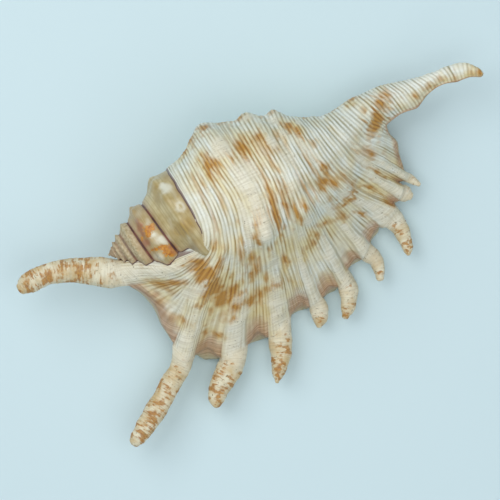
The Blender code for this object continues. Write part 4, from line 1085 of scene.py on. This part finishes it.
def add(*inputs, kind, sockets=range(8), output=0, **settings):
    """Adds a node to the material being made, with its settings and inputs, and gives its output."""
    node = tree.nodes.new("ShaderNode" + kind)
    for key, value in settings.items():
        setattr(node, key, value)
    fill(node, dict(zip(sockets, inputs)))
    return node.outputs[output]


def start_finish(name):
    """A new material, its nodes and its shader."""
    material = bpy.data.materials.new(name)
    material.use_nodes = True
    return material, material.node_tree, material.node_tree.nodes["Principled BSDF"]


# What each kind of node is given, and in which order.
STORED = {"kind": "Attribute", "output": "Fac"}  # nothing: it reads a number stored on the points
PAIR = {"kind": "CombineXYZ"}  # two numbers, used as a place
STRETCH = {"kind": "Mapping", "sockets": (0, "Scale")}  # a place, how much it is stretched
NOISE = {"kind": "TexNoise", "sockets": ("Vector", "Scale", "Detail"), "output": "Fac"}
RANGE = {"kind": "MapRange"}  # a value, two limits, what it becomes at each of them (0 and 1 if left out)
MIX = {"kind": "Mix", "data_type": "RGBA", "sockets": (0, 6, 7), "output": 2}  # a share, two colours
TIMES = {"kind": "Math", "operation": "MULTIPLY"}
PLUS = {"kind": "Math", "operation": "ADD"}
LESS = {"kind": "Math", "operation": "SUBTRACT"}
BUMP = {"kind": "Bump", "sockets": ("Strength", "Distance", "Height")}
SHELL_IOR = 1.53  # aragonite
print("cream as linear numbers:", [round(c, 3) for c in linear("#DEDCCB")])

# %% [markdown]
# The back is aragonite, weathered on the beach: chalky to the eye, with only a weak broad shine.
# Its patterns are read from two kinds of place: the point in space, for flecks and clouds, and the
# point's own rib and the millimetres along it, for everything that grew with the shell. Image
# textures could do this too, but they would need the shell to be unwrapped.

# %% patterns of the weathered chalky shell
chalk, tree, surface = start_finish("weathered chalky shell")
known = {name: add(**STORED, attribute_name=name) for name in (
    "rib", "groove_shade", "warm", "orange", "worn", "web_tint_and_shade", "margin", "finger_mm", "rib_mm", "run_mm",
)}
here = add(kind="TexCoord", output="Object")
on_rib = add(known["rib_mm"], known["run_mm"], **PAIR)
# Sizes in mm across the ribs and along them, then how fine the detail goes: streaks in the
# blotches, the growth lines, and the bands on the fingers.
streak, growth, bands = (
    add(add(on_rib, (1 / wide, 1 / long, 1), **STRETCH), 1, detail, **NOISE)
    for wide, long, detail in ((0.9, 4, 3), (7, 0.5, 2), (5, 0.9, 4))
)
# Sizes in mm of the patterns in space.
fleck, pocks, patches, cloud = (add(here, 1 / (size * MM), 4, **NOISE) for size in (0.7, 2.2, 2.4, 3))
flecked, clouded, grown = (add(pattern, 0.35, 0.65, **RANGE) for pattern in (fleck, cloud, growth))
print("patterns of the back:", 7)

# %% [markdown]
# Cream ribs and narrow tan grooves, both golden where the shell is warmer. Over them lie orange
# blotches, strongest in the grooves, and worn places that are almost white.

# %% ribs, grooves, blotches and worn places
rib_colour = add(known["warm"], "#EFF2E9", "#E9DCAC", **MIX)
groove_colour = add(known["warm"], "#9C987C", "#A8823C", **MIX)
shade = add(known["groove_shade"], 0, 1, 0.4, 1.5, **RANGE)
depth = add(add(1, known["rib"], **LESS), shade, use_clamp=True, **TIMES)
skin = add(depth, rib_colour, groove_colour, **MIX)
skin = add(add(cloud, 0.45, 0.7, 0, 0.3, **RANGE), skin, "#CFBE88", **MIX)
blotch = add(known["orange"], add(streak, 0.3, 0.7, 0.55, 1.3, **RANGE), **TIMES)
blotch_colour = add(known["rib"], "#8E5608", "#C08C34", **MIX)
skin = add(add(blotch, 0.1, 0.75, 0, 0.95, **RANGE), skin, blotch_colour, **MIX)
bare = add(known["worn"], add(fleck, 0.3, 0.7, -0.15, 0.15, **RANGE), **PLUS)
bare_colour = add(cloud, "#F0ECDE", "#DCD3B4", **MIX)
skin = add(add(bare, 0.15, 0.85, 0, 0.92, **RANGE), skin, bare_colour, **MIX)
print("nodes so far:", len(tree.nodes))

# %% [markdown]
# The fingers have no ribs. They are cream to tan, with frayed orange-brown bands round them that
# grow denser towards the tip. Between them the webs are pink-brown, partly their own colour and
# partly painted shade of their steep hollow, and end in a paler margin.

# %% fingers and webs
on_finger = add(known["finger_mm"], 0, 7, **RANGE)
skin = add(add(on_finger, 0.75, **TIMES), skin, add(clouded, "#E0D7B8", "#C6A464", **MIX), **MIX)
band = add(add(bands, patches, **PLUS), add(known["finger_mm"], 1, 13, -0.06, 0.13, **RANGE), **PLUS)
band = add(add(band, 1.09, 1.22, 0, 0.9, **RANGE), add(known["finger_mm"], 0.5, 4, **RANGE), **TIMES)
skin = add(band, skin, add(flecked, "#965A0C", "#C08934", **MIX), **MIX)
# Web colour: partly the shell's own pink-brown, partly painted shade of the steep hollow between the
# fingers.
skin = add(add(known["web_tint_and_shade"], 0.85, **TIMES), skin, add(grown, "#94694A", "#C8A686", **MIX), **MIX)
skin = add(known["margin"], skin, add(grown, "#A99B76", "#C9C1A2", **MIX), **MIX)
print("nodes so far:", len(tree.nodes))

# %% [markdown]
# Last come the fine marks of age: growth lines across the ribs, dark pits where the layer is worn,
# and the dark line where the body meets the spire. The fine grain is a bump, as it is thinner than
# a hair; everything larger is in the mesh.

# %% growth lines, pits and grain
showing = add(known["worn"], 0.2, 0.9, 0.15, 0.7, **RANGE)
lines = add(add(growth, 0.4, 0.55, 0.45, 0, **RANGE), showing, **TIMES)
skin = add(lines, skin, "#A89C7C", **MIX)
weathered = add(add(known["worn"], on_finger, **PLUS), 0, 0.8, 0.35, 1, **RANGE)
pit = add(add(fleck, 0.6, 0.68, 0, 0.75, **RANGE), weathered, **TIMES)
pit = add(pit, add(pocks, 0.42, 0.62, **RANGE), **TIMES)
skin = add(pit, skin, "#6B5B38", **MIX)
at_seam = add(add(**STORED, attribute_name="seam_mm"), 0.05, 0.3, 0.8, 0, **RANGE)
skin = add(at_seam, skin, "#6B4A44", **MIX)
grain_height = add(fleck, add(growth, 1.2, **TIMES), **PLUS)
fill(surface, {
    "Base Color": skin, "Roughness": 0.48, "IOR": SHELL_IOR, "Specular IOR Level": 0.4,
    "Normal": add(0.3, 0.2 * MM, grain_height, **BUMP),
})
print("nodes of the chalky shell:", len(tree.nodes))

# %% [markdown]
# The older whorls kept their smooth enamel: tan to olive, glossy, with faint spiral threads and
# white knobs. The oldest whorls at the apex are worn rough and grey-tan, and every suture is a dark
# purple-brown line with a paler edge.

# %% glossy spire enamel
enamel, tree, surface = start_finish("glossy spire enamel")
known = {name: add(**STORED, attribute_name=name) for name in ("whorl", "suture_mm", "apex_mm", "seam_mm")}
here = add(kind="TexCoord", output="Object")
fleck, cloud = (add(here, 1 / (size * MM), 4, **NOISE) for size in (0.8, 4))
flecked, clouded = (add(pattern, 0.35, 0.65, **RANGE) for pattern in (fleck, cloud))
skin = add(clouded, "#AF9A66", "#CDBE92", **MIX)
skin = add(add(known["apex_mm"], 13, 17.5, 0.75, 0, **RANGE), skin, "#B79C72", **MIX)
thread = add(add(known["whorl"], **PAIR), 24, 1, **NOISE)  # 24 threads or so on each whorl
skin = add(add(thread, 0.45, 0.6, 0, 0.45, **RANGE), skin, "#9A8350", **MIX)
# Each kind of spot: its limits and its strongest share, then its colour.
gold = add(add(thread, 0.4, 0.6, **RANGE), "#94743A", "#B79A58", **MIX)
for kind, low, high, share, colour in (
    ("gold", 0.1, 0.9, 0.75, gold), ("dusk", 0.1, 0.9, 0.7, "#958468"),
    ("rosy", 0.1, 0.8, 0.8, "#A66C50"), ("white", 0.15, 1, 0.95, "#E0DCC8"),
):
    spot = add(add(**STORED, attribute_name="spire_" + kind), low, high, 0, share, **RANGE)
    skin = add(spot, skin, colour, **MIX)
chipped = add(fleck, 0.3, 0.7, -0.35, 0.35, **RANGE)
chipped = add(add(**STORED, attribute_name="spire_orange"), chipped, **PLUS)
chipped_colour = add(flecked, "#A55A08", "#D0902C", **MIX)
skin = add(add(chipped, 0.3, 0.6, 0, 0.95, **RANGE), skin, chipped_colour, **MIX)
print("nodes so far:", len(tree.nodes))

# %% [markdown]
# The enamel is glossy where it is whole, so its roughness is low, and it rises over the worn apex.

# %% apex and sutures
rough_apex = add(known["apex_mm"], 8.5, 11, 1, 0, **RANGE)
skin = add(add(rough_apex, 0.85, **TIMES), skin, add(flecked, "#A6946E", "#D2C7A6", **MIX), **MIX)
skin = add(add(known["suture_mm"], 0.5, 1.6, 0.3, 0, **RANGE), skin, "#B59A86", **MIX)
faded = add(known["apex_mm"], 4, 9, 0.35, 1, **RANGE)
suture = add(add(known["suture_mm"], 0.12, 0.36, 1, 0, **RANGE), faded, **TIMES)
skin = add(suture, skin, add(add(cloud, 0.4, 0.6, **RANGE), "#4A2A2C", "#7C4638", **MIX), **MIX)
skin = add(add(known["seam_mm"], 0.5, 1.5, 0.35, 0, **RANGE), skin, "#A58A72", **MIX)
skin = add(add(known["seam_mm"], 0.16, 0.4, 1, 0, **RANGE), skin, "#4E3032", **MIX)
fill(surface, {
    "Base Color": skin, "Roughness": add(rough_apex, 0, 1, 0.3, 0.6, **RANGE), "IOR": SHELL_IOR,
    "Specular IOR Level": 0.35, "Normal": add(0.15, 0.2 * MM, fleck, **BUMP),
})
print("nodes of the enamel:", len(tree.nodes))

# %% [markdown]
# The underside is a thick glaze that the animal laid down, smooth as porcelain: cream with
# orange-tan rays on the lip and belly, then dark purple-brown with pale ribs in the opening.

# %% glazed callus
glaze, tree, surface = start_finish("glazed callus")
known = {name: add(**STORED, attribute_name=name) for name in ("way", "rib_mm", "run_mm", "tooth")}
cloud = add(add(kind="TexCoord", output="Object"), 1 / (9 * MM), 3, **NOISE)
on_rib = add(known["rib_mm"], known["run_mm"], **PAIR)
rays = add(add(on_rib, (1 / 1.6, 1 / 12, 1), **STRETCH), 1, 2, **NOISE)  # 1.6 mm wide, 12 mm long
skin = add(add(cloud, 0.35, 0.65, **RANGE), "#D8B98A", "#E9DEC6", **MIX)
skin = add(add(rays, 0.5, 0.7, 0, 0.45, **RANGE), skin, "#C4935A", **MIX)
inwards = add(known["way"], add(cloud, 0.3, 0.7, -0.08, 0.08, **RANGE), **PLUS)
skin = add(add(inwards, 7.35, 7.6, **RANGE), skin, "#8E5A3C", **MIX)
skin = add(add(inwards, 7.6, 7.9, **RANGE), skin, "#4A2A2E", **MIX)
inside = add(add(known["way"], 7.45, 7.65, **RANGE), add(known["way"], 8.1, 8.5, 1, 0, **RANGE), **TIMES)
skin = add(add(add(known["tooth"], 0.55, 0.85, **RANGE), inside, **TIMES), skin, "#E6D9C6", **MIX)
fill(surface, {"Base Color": skin, "Roughness": 0.22, "IOR": SHELL_IOR})
print("nodes of the glaze:", len(tree.nodes))

# %% [markdown]
# One skin carries the three finishes. A face takes its own from where it lies: the spire's faces
# take the enamel, the belly, the lip's underside and the opening take the glaze, as does the
# spire's own underside, and all the rest is chalky.

# %% which finish each face takes
joined.materials.clear()
for finish in (chalk, enamel, glaze):
    joined.materials.append(finish)
CHALKY, ENAMELLED, GLAZED = range(3)
first = np.empty(len(joined.polygons), np.int32)
joined.polygons.foreach_get("loop_start", first)
first_point = corner[first]
face_way = on_skin(way, 3.0)[first_point]
face_under = on_skin(nowhere > 0, (spire_distance > 17) & (spire_points[:, 2] < 15))[first_point]
finish_number = np.where((face_way < 1.5) | (face_way > 6.95), GLAZED, CHALKY)
finish_number = np.where(slot > 0, np.where(face_under, GLAZED, ENAMELLED), finish_number)
finish_number[at_end[first_point]] = CHALKY
joined.polygons.foreach_set("material_index", finish_number.astype(np.int32))
joined.shade_smooth()
print("faces of each finish:", np.bincount(finish_number).tolist())

# %% [markdown]
# The photo looks straight down on a pale surface in soft light from the upper left.

# %% floor and camera
PHOTO_TURN = 24.53  # how far the shell's X axis stands above the photo's horizontal, in degrees
VIEW_WIDTH = 146.89  # what the photo's width covers at the shell, in mm
VIEW_CENTRE = (-8.56, -0.24, 15.0)
CAMERA_HEIGHT = 1400.0


painted_board, tree, surface = start_finish("pale painted board")
fill(surface, {"Base Color": "#D0E4E9", "Roughness": 0.8})
plane = bmesh.new()
bmesh.ops.create_grid(plane, x_segments=1, y_segments=1, size=3)
floor_mesh = bpy.data.meshes.new("floor")
plane.to_mesh(floor_mesh)
plane.free()
floor = as_object(floor_mesh, "floor")
floor_mesh.materials.append(painted_board)

camera_data = bpy.data.cameras.new("camera")
camera_data.sensor_width = 36
camera_data.lens = 36 * (CAMERA_HEIGHT - VIEW_CENTRE[2]) / VIEW_WIDTH
camera_data.clip_end = 20
camera = bpy.data.objects.new("camera", camera_data)
camera.location = Vector((VIEW_CENTRE[0], VIEW_CENTRE[1], CAMERA_HEIGHT)) * MM
camera.rotation_euler = (0, 0, math.radians(-PHOTO_TURN))
bpy.context.scene.collection.objects.link(camera)
bpy.context.scene.camera = camera
print("the camera looks at a patch", VIEW_WIDTH, "mm wide")

# %% [markdown]
# A large soft box stands at the upper left, a weaker one opposite it and one overhead, with a pale
# room around them, so the shadows are short and soft as in the photo.

# %% light
def soft_box(name, at, aim, size, watts):
    """A square area light at a point, aimed at another, both in metres."""
    data = bpy.data.lights.new(name, "AREA")
    data.size = size
    data.energy = watts
    lamp = bpy.data.objects.new(name, data)
    lamp.location = at
    lamp.rotation_euler = (Vector(aim) - Vector(at)).to_track_quat("-Z", "Y").to_euler()
    bpy.context.scene.collection.objects.link(lamp)


soft_box("window", (-0.16, 0.28, 0.45), (0, 0, 0), 0.4, 1.15)
soft_box("fill", (0.1, -0.24, 0.5), (0, 0, 0), 0.45, 0.65)
soft_box("ceiling", (0, 0, 0.6), (0, 0, 0), 0.5, 0.7)
world = bpy.data.worlds.new("room")
bpy.context.scene.world = world
world.use_nodes = True
tree = world.node_tree
fill(tree.nodes["Background"], {"Color": "#E4EEF4", "Strength": 0.48})
bpy.context.scene.view_settings.view_transform = "Standard"
print("lamps:", len(bpy.data.lights))
